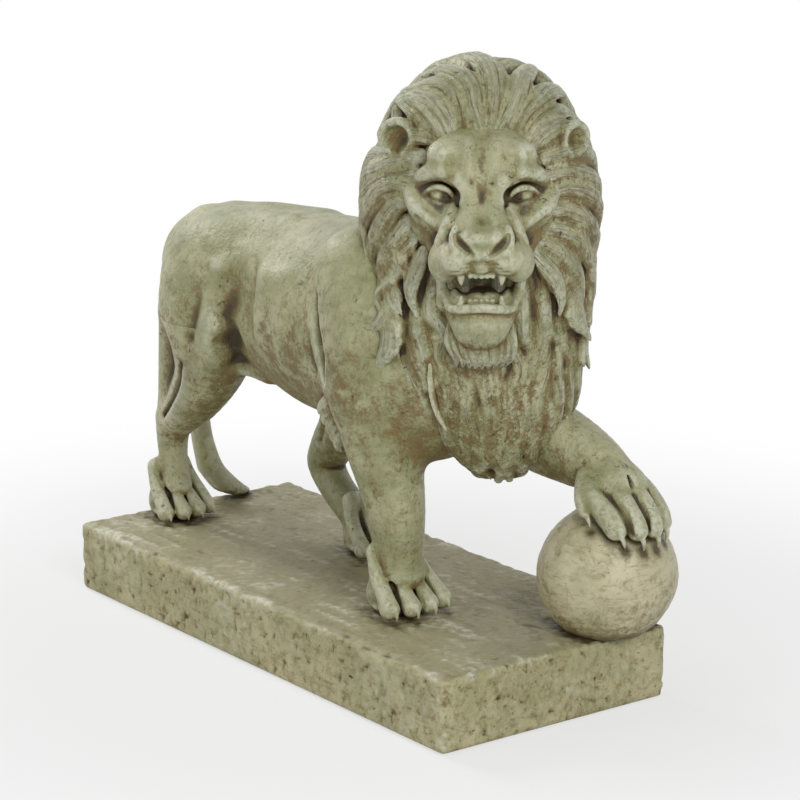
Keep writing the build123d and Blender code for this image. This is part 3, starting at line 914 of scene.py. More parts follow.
def sculpt_mane_rows(figure, random):
    """Rows of locks round the mane, from the crown down to the ruff."""
    starts, lengths, sizes, curls = [], [], [], []
    for row, height in enumerate(np.arange(CROWN_ROW, LAST_ROW, -ROW_DROP)):
        level = np.clip((height - 176) / 300, 0.12, 1)
        middle = head(8 + 30 * (1 - level), 18 * (1 - level), height)
        girth = 120 * (math.sqrt(level) if height < 520
                       else math.sqrt(max(1 - ((height - 500) / 110) ** 2, 0.05)))
        number = max(int(2 * math.pi * girth / LOCK_SPACING), 5)
        for k in range(number):
            turn = 2 * math.pi * (k + 0.5 * (row % 2) + random.uniform(-0.16, 0.16)) / number
            way = FORWARD * math.cos(turn) + SIDEWAYS * math.sin(turn)
            line = middle + way * 170 * np.linspace(0, 1, 60)[:, None]
            start = line[np.argmax(mane_depth(line) > 0)]
            from_middle = start - head(0, 0, 0)
            sideways, forward = from_middle @ SIDEWAYS, from_middle @ FORWARD
            if abs(sideways) < 84 and forward > 30 and 350 < height < 560:
                continue
            starts.append(start)
            lengths.append(random.uniform(*LOCK_LENGTHS))
            sizes.append(random.uniform(*LOCK_WIDTHS))
            curls.append(random.uniform(*LOCK_CURLS))
    signs = random.choice((-1, 1), len(starts))
    phases = random.uniform(-0.5, 0.5, len(starts))
    lifts = random.uniform(*LOCK_LIFTS, len(starts))
    paths = lock_paths(np.array(starts), np.array(lengths), np.array(curls) * signs, phases)
    for path, size, lift in zip(paths, sizes, lifts):
        add_lock(figure, path, size, (-0.2, lift), 2.6, 0.17)


def sculpt_ruff(figure, random):
    """Fine wavy strands from the jaw down to the point of the chest ruff."""
    for row, (top, forward, number) in enumerate(RUFF_ROWS):
        for k in range(number):
            share = (k + 0.5 * (row % 2) + random.uniform(-0.2, 0.2)) / (number - 1) * 2 - 1
            share = float(np.clip(share, -1, 1))
            length = min(random.uniform(92, 124), top - RUFF_POINT - 26 * abs(share))
            wave = random.uniform(2.0, 4.5) * random.choice((-1, 1))
            points = []
            for t in np.linspace(0, 1, 10):
                height = top - length * t
                half = min(14 + 0.66 * (height - 150), 108)
                middle = 24 - 0.06 * (height - 150)
                sideways = middle + half * share + wave * math.sin(2 * math.pi * (t * 1.1 + 0.1))
                points.append(head(forward - 46 * share * share - 26 * t, sideways, height))
            width = random.uniform(8.0, 11.0)
            add_lock(figure, np.array(points), width, (-0.15, 0.5), 2.1, 0.24, 1.0)


def sculpt_mane():
    """The mane: rows of locks over a smooth base, framing the face and falling to the chest."""
    random = np.random.RandomState(SEED)
    figure = Sculpture()
    for form in MANE_FORMS:
        figure.add(form, 30)
    sculpt_mane_rows(figure, random)
    sculpt_ruff(figure, random)
    sculpt_great_locks(figure)
    sculpt_ears(figure)
    return figure


# --------------------------------------------------------------------------------------------
# Pieces
# --------------------------------------------------------------------------------------------
BEYOND = 600.0               # beyond the lion on every side but its top
FINE_HOLLOW = 4.5            # spreads of the wash in hollows, the broad one partly painted shade
BROAD_HOLLOW = 15.0
HOLLOW_GAIN = 5.0
PAINTED_SHADE_GAIN, PAINTED_SHADE_EDGE = 0.8, 5.0                  # how dark the painted shade inside the given forms is, and how soft its edge
COMB_STEP = 2.5              # how often the comb is noted along a tress
COMB_APART = 61.7            # sets each tress's strands apart from the next one's
NEIGHBOURS = 5               # places on the tresses that a point is measured against


def placed(points):
    """Lion millimetres turned into metres in the frame."""
    return np.asarray(points, float) * MM + np.array([0.0, 0.0, GROUND])


def make_mesh(name, points, triangles, quads):
    """A smooth mesh object from points in millimetres."""
    mesh = bpy.data.meshes.new(name)
    mesh.vertices.add(len(points))
    mesh.vertices.foreach_set("co", placed(points).astype(np.float32).ravel())
    corners = np.concatenate([np.asarray(triangles, int).ravel(), np.asarray(quads, int).ravel()])
    mesh.loops.add(len(corners))
    mesh.loops.foreach_set("vertex_index", corners.astype(np.int32))
    sizes = np.array([3] * len(triangles) + [4] * len(quads))
    starts = np.concatenate([[0], np.cumsum(sizes)[:-1]])
    mesh.polygons.add(len(sizes))
    mesh.polygons.foreach_set("loop_start", starts.astype(np.int32))
    mesh.polygons.foreach_set("use_smooth", np.ones(len(sizes), bool))
    mesh.update(calc_edges=True)
    mesh.validate()
    piece = bpy.data.objects.new(name, mesh)
    bpy.context.scene.collection.objects.link(piece)
    return piece


def note_on_points(piece, name, values):
    """Stores one number for each point of a piece, for its material to read."""
    attribute = piece.data.attributes.new(name, "FLOAT", "POINT")
    attribute.data.foreach_set("value", np.clip(values, -1, 1).astype(np.float32))


def note_comb(piece, points, tresses, least):
    """Stores, for each point, where it lies in its nearest tress and how near that tress is."""
    centres, ways, reaches = [], [], []
    for number, tress in enumerate(tresses):
        steps = np.linalg.norm(np.diff(tress.path, axis=0), axis=1)
        lengths = np.concatenate([[0], np.cumsum(steps)])
        for share in np.arange(0, lengths[-1], COMB_STEP):
            i = min(np.searchsorted(lengths, share, side="right") - 1, len(steps) - 1)
            part = (share - lengths[i]) / max(steps[i], 1e-6)
            centres.append(tress.path[i] + part * (tress.path[i + 1] - tress.path[i]))
            ways.append((*tress.across[i], *tress.outward[i], number * COMB_APART, share))
            reaches.append(tress.radii[i] + part * (tress.radii[i + 1] - tress.radii[i]))
    centres, ways, reaches = np.array(centres), np.array(ways), np.array(reaches)
    tree = KDTree(len(centres))
    for i, centre in enumerate(centres):
        tree.insert(centre, i)
    tree.balance()
    comb = np.zeros((len(points), 3))
    hair = np.zeros(len(points))
    owner = np.zeros(len(points))
    for k, point in enumerate(points):
        near = [(gap / reaches[i], i, gap) for _, i, gap in tree.find_n(point, NEIGHBOURS)]
        _, i, gap = min(near)
        offset = point - centres[i]
        comb[k] = offset @ ways[i, :3] + ways[i, 6], offset @ ways[i, 3:6], ways[i, 7]
        hair[k] = 2.5 * (1.3 - gap / (reaches[i] + 4.0))
        owner[k] = ways[i, 6]
    hair = np.clip(hair, least, 1)
    ends = np.empty(2 * len(piece.data.edges), np.int32)
    piece.data.edges.foreach_get("vertices", ends)
    ends = ends.reshape(-1, 2)
    # the strands fade out where two tresses meet
    border = ends[owner[ends[:, 0]] != owner[ends[:, 1]]]
    hair[border.ravel()] = 0
    beside = hair[ends].min(axis=1)
    soft = np.ones(len(points))
    np.minimum.at(soft, ends.ravel(), np.repeat(beside, 2))
    hair = np.minimum(hair, 0.5 + 0.5 * soft)
    attribute = piece.data.attributes.new("comb", "FLOAT_VECTOR", "POINT")
    attribute.data.foreach_set("vector", (comb * MM).astype(np.float32).ravel())
    note_on_points(piece, "hair", hair)


def largest_island(points, triangles, quads):
    """The biggest of the loose shells of a skin."""
    label = np.arange(len(points))
    sides = [quads[:, [i, (i + 1) % 4]] for i in range(4)]
    sides += [triangles[:, [i, (i + 1) % 3]] for i in range(3)]
    first, second = np.concatenate(sides).T
    while True:
        least = np.minimum(label[first], label[second])
        after = label.copy()
        np.minimum.at(after, first, least)
        np.minimum.at(after, second, least)
        after = after[after]
        if (after == label).all():
            break
        label = after
    main = np.bincount(label).argmax()
    kept = label == main
    renumber = np.cumsum(kept) - 1
    triangles = triangles[kept[triangles[:, 0]]] if len(triangles) else triangles
    quads = quads[kept[quads[:, 0]]]
    return points[kept], renumber[triangles], renumber[quads]


def finish_piece(piece, node, material):
    """Seats a piece in the frame in place of its node, and gives it its stone."""
    piece.data.materials.append(material)
    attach(piece, "root")
    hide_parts(node)


def cast(node, sculpture, low, high, grain, material, keep=None, leave=None, company=(),
         combed=None, painted_shade_forms=()):
    """Works a stretch of a sculpture in clay and casts it as the piece that replaces a node."""
    clay = Clay(sculpture, low, high, grain)
    # painted shade: the neighbouring forms count as clay for the fullness, so the wash and umber
    # darken the piece beside them
    around = clay.field.copy()
    for form in company:
        around = np.minimum(around, form.distance(*clay.grid()))
    if keep:
        clay.keep(keep)
    if leave:
        clay.leave(leave)
    points, triangles, quads = largest_island(*clay.skin())
    piece = make_mesh(node + "_casting", points, triangles, quads)
    clay.field = around
    places = (points - clay.low) / clay.grain
    # painted shade inside the given forms, laid over the wash in the hollows and deep recesses
    painted_shade = sum(np.clip(-form.distance(*points.T) / PAINTED_SHADE_EDGE, 0, 1) for form in painted_shade_forms)
    # the fine fullness gives the wash in hollows; the broad one gives deep wash and painted shade
    for name, full in zip(("hollow", "wash_and_shade"), clay.fullness((FINE_HOLLOW, BROAD_HOLLOW))):
        note_on_points(piece, name, (sample(full, places) - 0.5) * HOLLOW_GAIN + PAINTED_SHADE_GAIN * painted_shade)
    if combed is not None:
        note_comb(piece, points, sculpture.tresses, combed)
    finish_piece(piece, node, material)
    return piece


def leg_spaces():
    """The space of each limb casting, between the frame's joint faces."""
    far = BEYOND
    right_fore, left_fore = node_box("right_foreleg"), node_box("left_foreleg")
    right_hind, left_hind = node_box("right_hind_leg"), node_box("left_hind_leg")
    tail = node_box("tail")
    inset = left_fore[0][1]                       # the shoulder joints lie evenly about the middle
    foot_height = 140.0
    tail_face, tail_foot = -322.0, (-290.0, -6.0, 130.0)
    tail_space = joined(
        block_space((-far, -far, tail_foot[2]), (tail_face, far, far)),
        block_space((-far, tail_foot[1], -far), (tail_foot[0], far, tail_foot[2] + 1)),
    )
    return {
        "right_foreleg": joined(
            block_space((right_fore[0][0], -far, -far), (far, -inset, right_fore[1][2])),
            block_space((right_fore[0][0], -far, -far), (far, right_fore[1][1], foot_height)),
        ),
        "left_foreleg": block_space((left_fore[0][0], inset, -far), (far, far, right_fore[1][2])),
        "right_hind_leg": less(
            block_space((-far, -far, -far), (right_hind[1][0], right_hind[1][1], right_hind[1][2])),
            tail_space,
        ),
        "left_hind_leg": block_space((left_hind[0][0], left_hind[0][1], -far),
                                     (6.0, far, left_hind[1][2])),
        "tail": tail_space,
    }


def make_body(material):
    """Torso, four legs and tail, cast from one sculpture and joined at the frame's joint faces."""
    body = sculpt_body()
    floor = Form(None, None, lambda x, y, h: h + 0 * x + 0 * y)
    ball = lump(BALL_MIDDLE, (BALL_RADIUS,) * 3)
    spaces = leg_spaces()
    reaches = {
        "right_foreleg": ((40, -130, -6), (215, 14, 300)),
        "left_foreleg": ((40, 12, 60), (412, 176, 300)),
        "right_hind_leg": ((-356, -126, -6), (-146, -4, 270)),
        "left_hind_leg": ((-272, 4, -6), (18, 126, 244)),
        "tail": ((-372, -40, -6), (-280, 96, 350)),
    }
    for node, (low, high) in reaches.items():
        # painted shade: the legs darken beside the plinth's top, the raised one also beside the
        # ball
        company = [floor, ball] if node == "left_foreleg" else [floor]
        cast(node, body, low, high, LEG_GRAIN, material, keep=spaces[node], company=company)
    cast("torso", body, (-345, -134, 150), (240, 134, 432), TORSO_GRAIN, material,
         leave=joined(*spaces.values()), company=MANE_FORMS, combed=0.0)
    return body


def make_head_and_mane(material):
    """The face, the mane with its ears, and the chest ruff below it."""
    corners = [head(u, s, 0) for u in (8, 180) for s in (-88, 88)]
    low, high = np.min(corners, axis=0), np.max(corners, axis=0)
    behind = head(8, 0, 0) @ FORWARD

    def face_space(x, y, h):
        return behind - (x * FORWARD[0] + y * FORWARD[1]) + 0 * h

    # painted shade inside the open mouth
    cast("head", sculpt_head(), (low[0], low[1], 284), (high[0], high[1], 566), FACE_GRAIN,
         material, keep=face_space, company=MANE_FORMS, combed=0.0,
         painted_shade_forms=[head_lump((96, 0, 383), (44, 36, 20))])
    mane = sculpt_mane()
    joint = node_box("chest_ruff")[1][2]
    above = block_space((-BEYOND, -BEYOND, joint), (BEYOND, BEYOND, 2 * BEYOND))
    cast("mane", mane, (40, -150, joint - 8), (340, 196, 630), MANE_GRAIN, material, keep=above,
         combed=0.7)
    cast("chest_ruff", mane, (70, -120, 130), (320, 190, joint + 10), MANE_GRAIN, material,
         leave=above, combed=0.7)


# --------------------------------------------------------------------------------------------
# Plinth and ball
# --------------------------------------------------------------------------------------------
PLINTH_CORNER = 7.0
PLINTH_ARRIS = 3.0
PLINTH_GRAIN = 2.7
CHIP_DEPTH = 3.2


def rough(points, size, seed):
    """Soft random relief from 0 to 1, its bumps a given size across."""
    grid = np.random.RandomState(seed).rand(34, 34, 34)
    places = np.mod(np.asarray(points) / size + seed * 1.7, 32.0)
    part = places - np.floor(places)
    return sample(grid, np.floor(places) + part * part * (3 - 2 * part))


def deselect():
    bpy.ops.object.select_all(action="DESELECT")


def edit_piece(piece, change):
    """Runs a change in edit mode with nothing selected."""
    bpy.context.view_layer.objects.active = piece
    bpy.ops.object.mode_set(mode="EDIT")
    bpy.ops.mesh.select_all(action="DESELECT")
    bpy.ops.object.mode_set(mode="OBJECT")
    change()
    bpy.ops.object.mode_set(mode="OBJECT")


def bevel_edges(piece, chosen, width, segments):
    """Rounds the edges whose two ends a test chooses."""
    def change():
        vertices = piece.data.vertices
        for edge in piece.data.edges:
            edge.select = chosen(*[vertices[i].co for i in edge.vertices])
        bpy.ops.object.mode_set(mode="EDIT")
        bpy.ops.mesh.bevel(offset=width * MM, segments=segments, affect="EDGES")

    edit_piece(piece, change)


def points_of(piece):
    """A piece's points in lion millimetres."""
    places = np.empty(len(piece.data.vertices) * 3, np.float32)
    piece.data.vertices.foreach_get("co", places)
    return (places.reshape(-1, 3).astype(float) - (0, 0, GROUND)) / MM


def move_points(piece, points):
    piece.data.vertices.foreach_set("co", placed(points).astype(np.float32).ravel())
    piece.data.update()


def outward_of(piece):
    """The outward direction at each of a piece's points."""
    normals = np.empty(len(piece.data.vertices) * 3, np.float32)
    piece.data.vertex_normals.foreach_get("vector", normals)
    return normals.reshape(-1, 3).astype(float)


def make_plinth(material, body):
    """The slab: worn round at its edges, trowelled on top and stippled on its sides."""
    deselect()
    bpy.ops.mesh.primitive_cube_add(size=1.0, location=(PLINTH_LOW + PLINTH_HIGH) / 2)
    slab = bpy.context.object
    slab.name = "plinth_casting"
    slab.scale = PLINTH_HIGH - PLINTH_LOW
    bpy.ops.object.transform_apply(location=True, rotation=True, scale=True)
    bevel_edges(slab, lambda a, b: abs(a.z - b.z) > 10 * MM, PLINTH_CORNER, 4)
    top = PLINTH_HIGH.z - 0.1 * MM
    bevel_edges(slab, lambda a, b: a.z > top and b.z > top, PLINTH_ARRIS, 3)
    remesh = slab.modifiers.new("even grain", "REMESH")
    remesh.mode = "VOXEL"
    remesh.voxel_size = PLINTH_GRAIN * MM
    bpy.ops.object.modifier_apply(modifier=remesh.name)
    points, outward = points_of(slab), outward_of(slab)
    half = np.array([(PLINTH_HIGH - PLINTH_LOW).x, (PLINTH_HIGH - PLINTH_LOW).y]) / 2 / MM
    depth = -points[:, 2]
    walls = half - np.abs(points[:, :2])
    distances = np.sort(np.stack([walls[:, 0], walls[:, 1], depth], axis=1), axis=1)
    edge = np.exp(-(np.maximum(distances[:, 1], 0) / 7.0) ** 2)
    chips = np.clip(rough(points, 13.0, 3) - 0.5, 0, 1) * 2 * edge * CHIP_DEPTH
    chips += np.clip(rough(points, 34.0, 4) - 0.55, 0, 1) * 2 * edge * CHIP_DEPTH
    upright = np.clip(outward[:, 2], 0, 1)
    side = 1 - np.abs(outward[:, 2])
    waves = (rough(points, 70.0, 5) - 0.5) * 1.6
    stipple = (rough(points, 7.0, 6) - 0.5) * 1.5 * side
    stipple += (rough(points, 5.6, 7) - 0.5) * 1.3 * upright
    pits = -np.clip(rough(points, 6.2, 8) - 0.72, 0, 1) * 8.0 * side
    trowel = (rough(points * (0.35, 1.0, 1.0), 11.0, 9) - 0.5) * 2.0 * upright
    under = outward[:, 2] < -0.5
    change = np.where(under, 0.0, waves + stipple + pits + trowel - chips)
    move_points(slab, points + outward * change[:, None])
    slab.data.polygons.foreach_set("use_smooth", np.ones(len(slab.data.polygons), bool))
    note_on_points(slab, "hollow", -change * 0.35 - edge * 0.3)
    # painted shadow: the plinth's top darkens round the lion's feet, tail and the ball
    near = body.depth(points)
    near = np.minimum(near, lump(BALL_MIDDLE, (BALL_RADIUS,) * 3).distance(*points.T))
    note_on_points(slab, "wash_and_shade", np.exp(-np.maximum(near, 0) / 14.0) * (points[:, 2] > -6))
    finish_piece(slab, "plinth", material)


def make_ball(material, body):
    """The ball, rubbed smooth by hand and flat where it sits."""
    deselect()
    middle = Vector(placed(BALL_MIDDLE))
    level = 7
    bpy.ops.mesh.primitive_ico_sphere_add(subdivisions=level, radius=BALL_RADIUS * MM,
                                          location=middle)
    ball = bpy.context.object
    ball.name = "ball_casting"
    bpy.ops.object.transform_apply(location=True, rotation=True, scale=True)
    points, outward = points_of(ball), outward_of(ball)
    change = (rough(points, 46.0, 11) - 0.62) * 3.2 + (rough(points, 9.0, 12) - 0.5) * 0.7
    change += (rough(points * (1, 1, 3.0), 14.0, 13) - 0.5) * 0.5
    points = points + outward * change[:, None]
    move_points(ball, points)

    def level_base():
        bpy.ops.object.mode_set(mode="EDIT")
        bpy.ops.mesh.select_all(action="SELECT")
        bpy.ops.mesh.bisect(plane_co=(0, 0, GROUND), plane_no=(0, 0, 1), use_fill=True,
                            clear_inner=True)

    edit_piece(ball, level_base)
    ball.data.polygons.foreach_set("use_smooth", np.ones(len(ball.data.polygons), bool))
    points = points_of(ball)
    # painted shade: the ball darkens beside the paw and towards its base on the plinth
    near = body.depth(points)
    note_on_points(ball, "hollow", 0.35 * np.exp(-np.maximum(near, 0) / 5.0) - 0.1)
    under = np.exp(-np.maximum(points[:, 2], 0) / 22.0)
    note_on_points(ball, "wash_and_shade", np.exp(-np.maximum(near, 0) / 12.0) + under)
    finish_piece(ball, "ball", material)


# --------------------------------------------------------------------------------------------
# Materials
# --------------------------------------------------------------------------------------------
def srgb(code):
    """An sRGB hex colour as linear red, green, blue and alpha."""
    values = [int(code[i:i + 2], 16) / 255 for i in (1, 3, 5)]
    return (*[v / 12.92 if v <= 0.04045 else ((v + 0.055) / 1.055) ** 2.4 for v in values], 1.0)


def per_mm(size):
    """The texture scale whose features are a given number of millimetres across."""
    return 1.0 / (size * MM)


def add(tree, kind, inputs=None, output=None, **settings):
    """Adds a node with its settings, its inputs as values or links, and gives back an output."""
    made = tree.nodes.new(kind)
    for name, value in settings.items():
        setattr(made, name, value)
    for socket, value in (inputs or {}).items():
        if isinstance(value, bpy.types.NodeSocket):
            tree.links.new(value, made.inputs[socket])
        else:
            made.inputs[socket].default_value = value
    if output:
        return made.outputs[output]
    return next(socket for socket in made.outputs if socket.enabled)


def new_material(name):
    """A material with its tree and its surface shader."""
    material = bpy.data.materials.new(name)
    material.use_nodes = True
    return material, material.node_tree, material.node_tree.nodes["Principled BSDF"]


NOISE, MATH = "ShaderNodeTexNoise", "ShaderNodeMath"
MIX, RANGE, FIELD = "ShaderNodeMix", "ShaderNodeMapRange", "ShaderNodeAttribute"
MIX_UNDER, MIX_OVER = 6, 7                          # the colour sockets of a mix
EASED = {"interpolation_type": "SMOOTHSTEP"}


def cast_stone(name, sage, cream, moss, worn, wash, umber, rust, wash_level, gloss, relief,
               brushed=(1.0, 1.0, 0.22), top_tint="#989173", top_tinted=0.0, underside_shade=0.5):
    """Cast stone, painted and wiped: a pale coat left on the high places, a brown wash in the
    hollows, moss and rust tints, ragged dark pits, and a clear sealer with a broken shine.
    The wash and its umber also carry painted shade: in deep recesses, beside neighbouring
    parts, and on faces that look down."""
    material, tree, shader = new_material(name)
    place = add(tree, "ShaderNodeTexCoord", output="Object")
    facing = add(tree, "ShaderNodeTexCoord", output="Normal")
    upward = add(tree, "ShaderNodeSeparateXYZ", {0: facing}, output="Z")
    hollow = add(tree, FIELD, attribute_name="hollow", output="Fac")
    # broad fullness: wash in deep recesses, and painted shade beside neighbouring parts and under
    # the lion
    wash_and_shade = add(tree, FIELD, attribute_name="wash_and_shade", output="Fac")
    hair = add(tree, FIELD, attribute_name="hair", output="Fac")
    comb = add(tree, FIELD, attribute_name="comb", output="Vector")
    drawn = add(tree, "ShaderNodeMapping", {"Vector": place, "Scale": brushed})
    drawn_out = add(tree, "ShaderNodeMapping", {"Vector": comb, "Scale": (1.0, 0.35, 0.06)})

    # patterns: size in mm, detail, fineness, twist, then the stretch eased from least to most
    grain, share = {}, {}
    for title, where, size, detail, fine, twist, low, high, least, most in (
            ("patches", place, 62.0, 3.0, 0.55, 0.0, 0.36, 0.64, 0.0, 1.0),
            ("mottle", place, 16.0, 5.0, 0.65, 0.6, 0.46, 0.72, 0.0, 0.75),
            ("flecks", place, 6.5, 4.0, 0.7, 0.0, 0.5, 0.75, 0.0, 0.5),
            ("streaks", drawn, 5.0, 3.0, 0.6, 0.3, 0.52, 0.74, 0.0, 0.5),
            ("strands", drawn_out, 3.2, 3.0, 0.6, 0.15, 0.0, 1.0, 0.0, 1.0),
            ("wear", place, 7.0, 3.0, 0.55, 0.0, 0.32, 0.6, 0.25, 1.0),
            ("blots", place, 15.0, 6.0, 0.78, 0.0, 0.3, 0.7, -0.6, 0.6),
            ("spots", place, 3.4, 4.0, 0.7, 0.0, 0.3, 0.7, -0.28, 0.28),
            ("rust", place, 18.0, 6.0, 0.75, 0.4, 0.42, 0.72, 0.0, 0.53),
            ("ragged", place, 7.0, 5.0, 0.85, 0.8, 0.6, 0.68, 0.0, 1.0),
            ("pitted", place, 38.0, 2.0, 0.55, 0.0, 0.36, 0.56, 0.0, 1.0),
            ("grit", place, 2.2, 3.0, 0.6, 0.0, 0.6, 0.78, 0.0, 0.4),
            ("specks", place, 3.1, 3.0, 0.6, 0.0, 0.62, 0.8, 0.0, 0.35),
            ("lumps", place, 5.2, 4.0, 0.6, 0.0, 0.0, 1.0, 0.0, 1.0),
            ("dull", place, 9.0, 4.0, 0.7, 0.0, 0.3, 0.7, gloss, gloss + 0.16)):
        grain[title] = add(tree, NOISE, {"Vector": where, "Scale": per_mm(size), "Detail": detail,
                                         "Roughness": fine, "Distortion": twist})
        share[title] = add(tree, RANGE, {"Value": grain[title], "From Min": low, "From Max": high,
                                         "To Min": least, "To Max": most}, **EASED)

    # strands combed along each tress, and pits where the mould left them
    strands = add(tree, MATH, {0: grain["strands"], 1: 0.5}, operation="SUBTRACT")
    strands = add(tree, MATH, {0: strands, 1: hair}, operation="MULTIPLY")
    holes = add(tree, MATH, {0: share["ragged"], 1: share["pitted"]}, operation="MULTIPLY")
    # how deep a place lies, for the wash: hollow, in deep recesses and beside neighbouring parts
    # (partly painted shade), blotted, and with painted shade by facing: more where it faces down,
    # less where it looks up
    deep = add(tree, MATH, {0: wash_and_shade, 1: 0.8, 2: hollow}, operation="MULTIPLY_ADD")
    depth = hollow
    for field, weight in ((wash_and_shade, 0.75), (share["blots"], 1.0), (share["spots"], 1.0),
                          (upward, -underside_shade), (hair, 0.3)):
        depth = add(tree, MATH, {0: field, 1: weight, 2: depth}, operation="MULTIPLY_ADD")
    # a tint of its own on faces that look up, darker on the plinth
    for title, field, low, high, most in (
            ("top_tint", upward, 0.55, 0.9, top_tinted), ("partings", strands, -0.02, -0.16, 0.9),
            ("ridges", strands, 0.04, 0.2, 0.55), ("high", hollow, -0.05, -0.55, 1.0),
            ("wash", depth, wash_level, wash_level + 1.0, 0.85), ("deep", deep, 0.2, 0.85, 0.94)):
        share[title] = add(tree, RANGE, {"Value": field, "From Min": low, "From Max": high,
                                         "To Min": 0.0, "To Max": most}, **EASED)
    for title, first, second in (("rubbed", share["high"], share["wear"]),
                                 ("rusty", share["wash"], share["rust"]), ("holes", holes, 0.8)):
        share[title] = add(tree, MATH, {0: first, 1: second}, operation="MULTIPLY")

    # the coats of paint, from the first to the last
    coat = srgb(sage)
    for colour, title in ((cream, "patches"), (moss, "mottle"), (cream, "flecks"),
                          (wash, "streaks"), (top_tint, "top_tint"), (wash, "partings"), (worn, "ridges"),
                          (worn, "rubbed"), (wash, "wash"), (rust, "rusty"), (umber, "deep"),
                          (umber, "holes"), (umber, "grit"), (worn, "specks")):
        coat = add(tree, MIX, {0: share[title], MIX_UNDER: coat, MIX_OVER: srgb(colour)},
                   data_type="RGBA")
    tree.links.new(coat, shader.inputs["Base Color"])
    # the sealer shines on the smooth coat and is lost in the wash
    dull = add(tree, MATH, {0: share["wash"], 1: 0.26, 2: share["dull"]}, operation="MULTIPLY_ADD")
    tree.links.new(dull, shader.inputs["Roughness"])
    # relief in millimetres: casting grain, brush lines, pits and strands
    height = 0.0
    for field, rise in ((grain["grit"], 0.5 * relief), (grain["lumps"], 0.9 * relief),
                        (grain["streaks"], 0.5 * relief), (holes, -0.8 * relief), (strands, 8.0)):
        height = add(tree, MATH, {0: field, 1: rise, 2: height}, operation="MULTIPLY_ADD")
    bump = add(tree, "ShaderNodeBump", {"Height": height, "Strength": 1.0, "Distance": MM})
    tree.links.new(bump, shader.inputs["Normal"])
    return material


def lion_stone():
    """Cast stone in sage and cream with a brown wash: the lion itself."""
    return cast_stone("sealed cast stone, sage", sage="#9a9c6f", cream="#bdbb93", moss="#7c8152",
                      worn="#d3d4b8", wash="#7d6c3e", umber="#372b14", rust="#8c5c34",
                      wash_level=-0.42, gloss=0.3, relief=1.5, underside_shade=0.78)


def ball_stone():
    """Cast stone rubbed smooth, creamier than the lion: the ball."""
    return cast_stone("sealed cast stone, cream", sage="#bdb893", cream="#d8d0ae", moss="#928c5e",
                      worn="#dcd6bd", wash="#8b7848", umber="#463819", rust="#95693c",
                      wash_level=0.12, gloss=0.34, relief=0.6,
                      brushed=(0.22, 0.22, 1.0))


def plinth_stone():
    """Cast stone left coarse, with a darker tint on its trowelled top: the plinth."""
    return cast_stone("stippled cast stone", sage="#b0ab80", cream="#c6bf95", moss="#8c875a",
                      worn="#dcdac4", wash="#84744a", umber="#433819", rust="#8b6a42",
                      wash_level=0.0, gloss=0.46, relief=1.2,
                      brushed=(0.3, 1.0, 1.0), top_tinted=0.62)


def dowel_steel():
    """Drawn mild steel bar: grey, faintly lined along its length."""
    material, tree, shader = new_material("drawn steel bar")
    place = add(tree, "ShaderNodeTexCoord", output="Object")
    lines = add(tree, NOISE, {"Vector": place, "Scale": per_mm(1.5), "Detail": 2.0})
    colour = add(tree, MIX, {0: lines, MIX_UNDER: srgb("#8b8d8f"), MIX_OVER: srgb("#a9abad")},
                 data_type="RGBA")
    tree.links.new(colour, shader.inputs["Base Color"])
    dull = add(tree, RANGE, {"Value": lines, "To Min": 0.3, "To Max": 0.5})
    tree.links.new(dull, shader.inputs["Roughness"])
    shader.inputs["Metallic"].default_value = 1.0
    return material


def seen_directly(tree):
    """One for camera, glossy and transmission rays, and nought for the rest."""
    seen = add(tree, "ShaderNodeLightPath", output="Is Camera Ray")
    for other in ("Is Glossy Ray", "Is Transmission Ray"):
        ray = add(tree, "ShaderNodeLightPath", output=other)
        seen = add(tree, MATH, {0: seen, 1: ray}, operation="MAXIMUM")
    return seen


def floor_paint():
    """White backdrop paint: it keeps the shadow near the plinth and runs out to plain white."""
    material, tree, shader = new_material("white backdrop paint")
    shader.inputs["Base Color"].default_value = srgb("#e6e6e6")
    shader.inputs["Roughness"].default_value = 0.9
    shader.inputs["Specular IOR Level"].default_value = 0.0
    place = add(tree, "ShaderNodeTexCoord", output="Object")
    reach = add(tree, "ShaderNodeVectorMath", {0: place}, output="Value", operation="LENGTH")
    far = add(tree, RANGE, {"Value": reach, "From Min": SHADOW_REACH[0],
                            "From Max": SHADOW_REACH[1], "To Min": WHITE_NEAR}, **EASED)
    share = add(tree, MATH, {0: seen_directly(tree), 1: far}, operation="MULTIPLY")
    white = add(tree, "ShaderNodeEmission", {"Color": (1, 1, 1, 1), "Strength": 1.0})
    surface = add(tree, "ShaderNodeMixShader", {0: share, 1: shader.outputs["BSDF"], 2: white})
    tree.links.new(surface, tree.nodes["Material Output"].inputs["Surface"])
    return material


# --------------------------------------------------------------------------------------------
# Stage: floor, lamps and camera
# --------------------------------------------------------------------------------------------
WHITE_NEAR = 0.62            # how far the floor is plain white right beside the plinth,
SHADOW_REACH = (0.35, 1.1)   # and the metres over which it runs out to all white
CAMERA_AZIMUTH = 53.11
CAMERA_ELEVATION = 14.19
CAMERA_DISTANCE = 3394.0
CAMERA_AIM = (5.5, 56.4, 191.5)
CAMERA_LENS = 135.0
ROOM_LIGHT = 0.3             # how strongly the white room lights the statue


def make_floor():
    deselect()
    bpy.ops.mesh.primitive_plane_add(size=60.0, location=(0, 0, CAD_BOUNDS[0][2]))
    floor = bpy.context.object
    floor.name = "floor"
    bpy.ops.object.transform_apply(location=True)
    floor.data.materials.append(floor_paint())


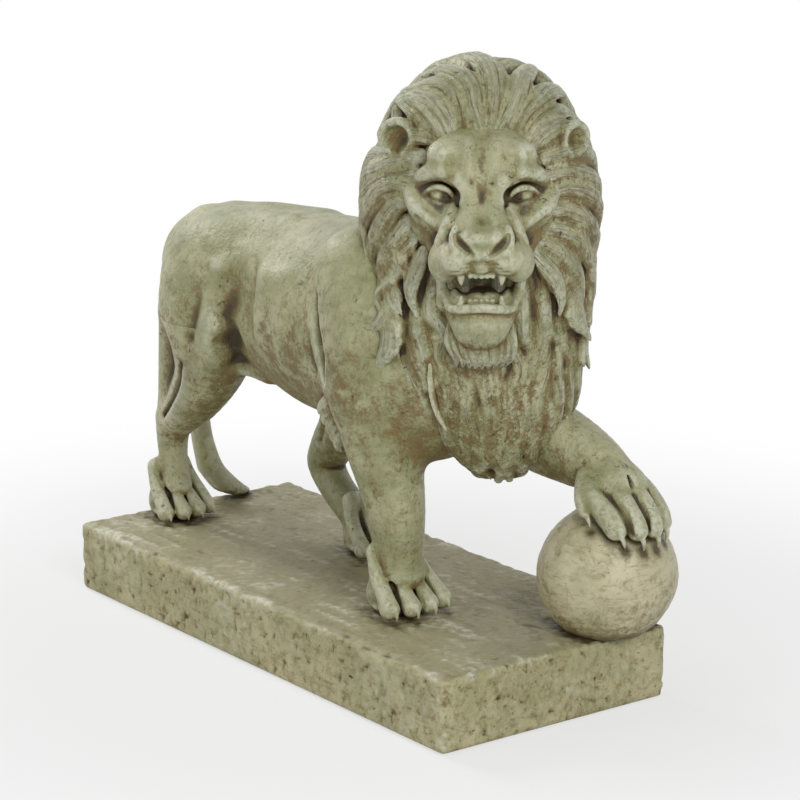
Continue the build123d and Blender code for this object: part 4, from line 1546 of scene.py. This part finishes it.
def make_lamp(name, place, aim, size, power):
    """A softbox that faces a place, both in metres."""
    bpy.ops.object.light_add(type="AREA", location=place)
    lamp = bpy.context.object
    lamp.name = name
    lamp.data.shape = "RECTANGLE"
    lamp.data.size, lamp.data.size_y = size
    lamp.data.energy = power
    lamp.rotation_euler = (Vector(aim) - Vector(place)).to_track_quat("-Z", "Y").to_euler()


def make_lights():
    """A front softbox by the camera, one to its left, one high behind, and a white room."""
    world = bpy.data.worlds.new("white room")
    world.use_nodes = True
    background = world.node_tree.nodes["Background"]
    background.inputs["Color"].default_value = (1, 1, 1, 1)
    seen = add(world.node_tree, RANGE, {"Value": seen_directly(world.node_tree),
                                        "To Min": ROOM_LIGHT})
    world.node_tree.links.new(seen, background.inputs["Strength"])
    bpy.context.scene.world = world
    middle = (0.0, 0.0, 0.32)
    make_lamp("front softbox", (2.8, -0.8, 1.9), middle, (1.2, 1.2), 40)
    make_lamp("left softbox", (-0.8, -2.9, 1.7), middle, (1.4, 1.6), 12)
    make_lamp("top softbox", (-1.95, -0.3, 1.95), middle, (0.9, 1.0), 26)


def make_camera():
    azimuth, elevation = math.radians(CAMERA_AZIMUTH), math.radians(CAMERA_ELEVATION)
    away = Vector((math.sin(azimuth) * math.cos(elevation),
                   -math.cos(azimuth) * math.cos(elevation), math.sin(elevation)))
    place = Vector(placed(np.array(CAMERA_AIM))) + away * CAMERA_DISTANCE * MM
    bpy.ops.object.camera_add(location=place, rotation=away.to_track_quat("Z", "Y").to_euler())
    camera = bpy.context.object
    camera.data.lens = CAMERA_LENS
    camera.data.sensor_width = 36.0
    camera.data.clip_end = 80.0
    bpy.context.scene.camera = camera


# --------------------------------------------------------------------------------------------
# The statue
# --------------------------------------------------------------------------------------------
steel = dowel_steel()
for node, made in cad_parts.items():
    if "dowel" in node:
        made.data.materials.clear()
        made.data.materials.append(steel)
stone = lion_stone()
body = make_body(stone)
make_head_and_mane(stone)
make_plinth(plinth_stone(), body)
make_ball(ball_stone(), body)
make_floor()
make_lights()
make_camera()
bpy.context.scene.view_settings.view_transform = "Standard"
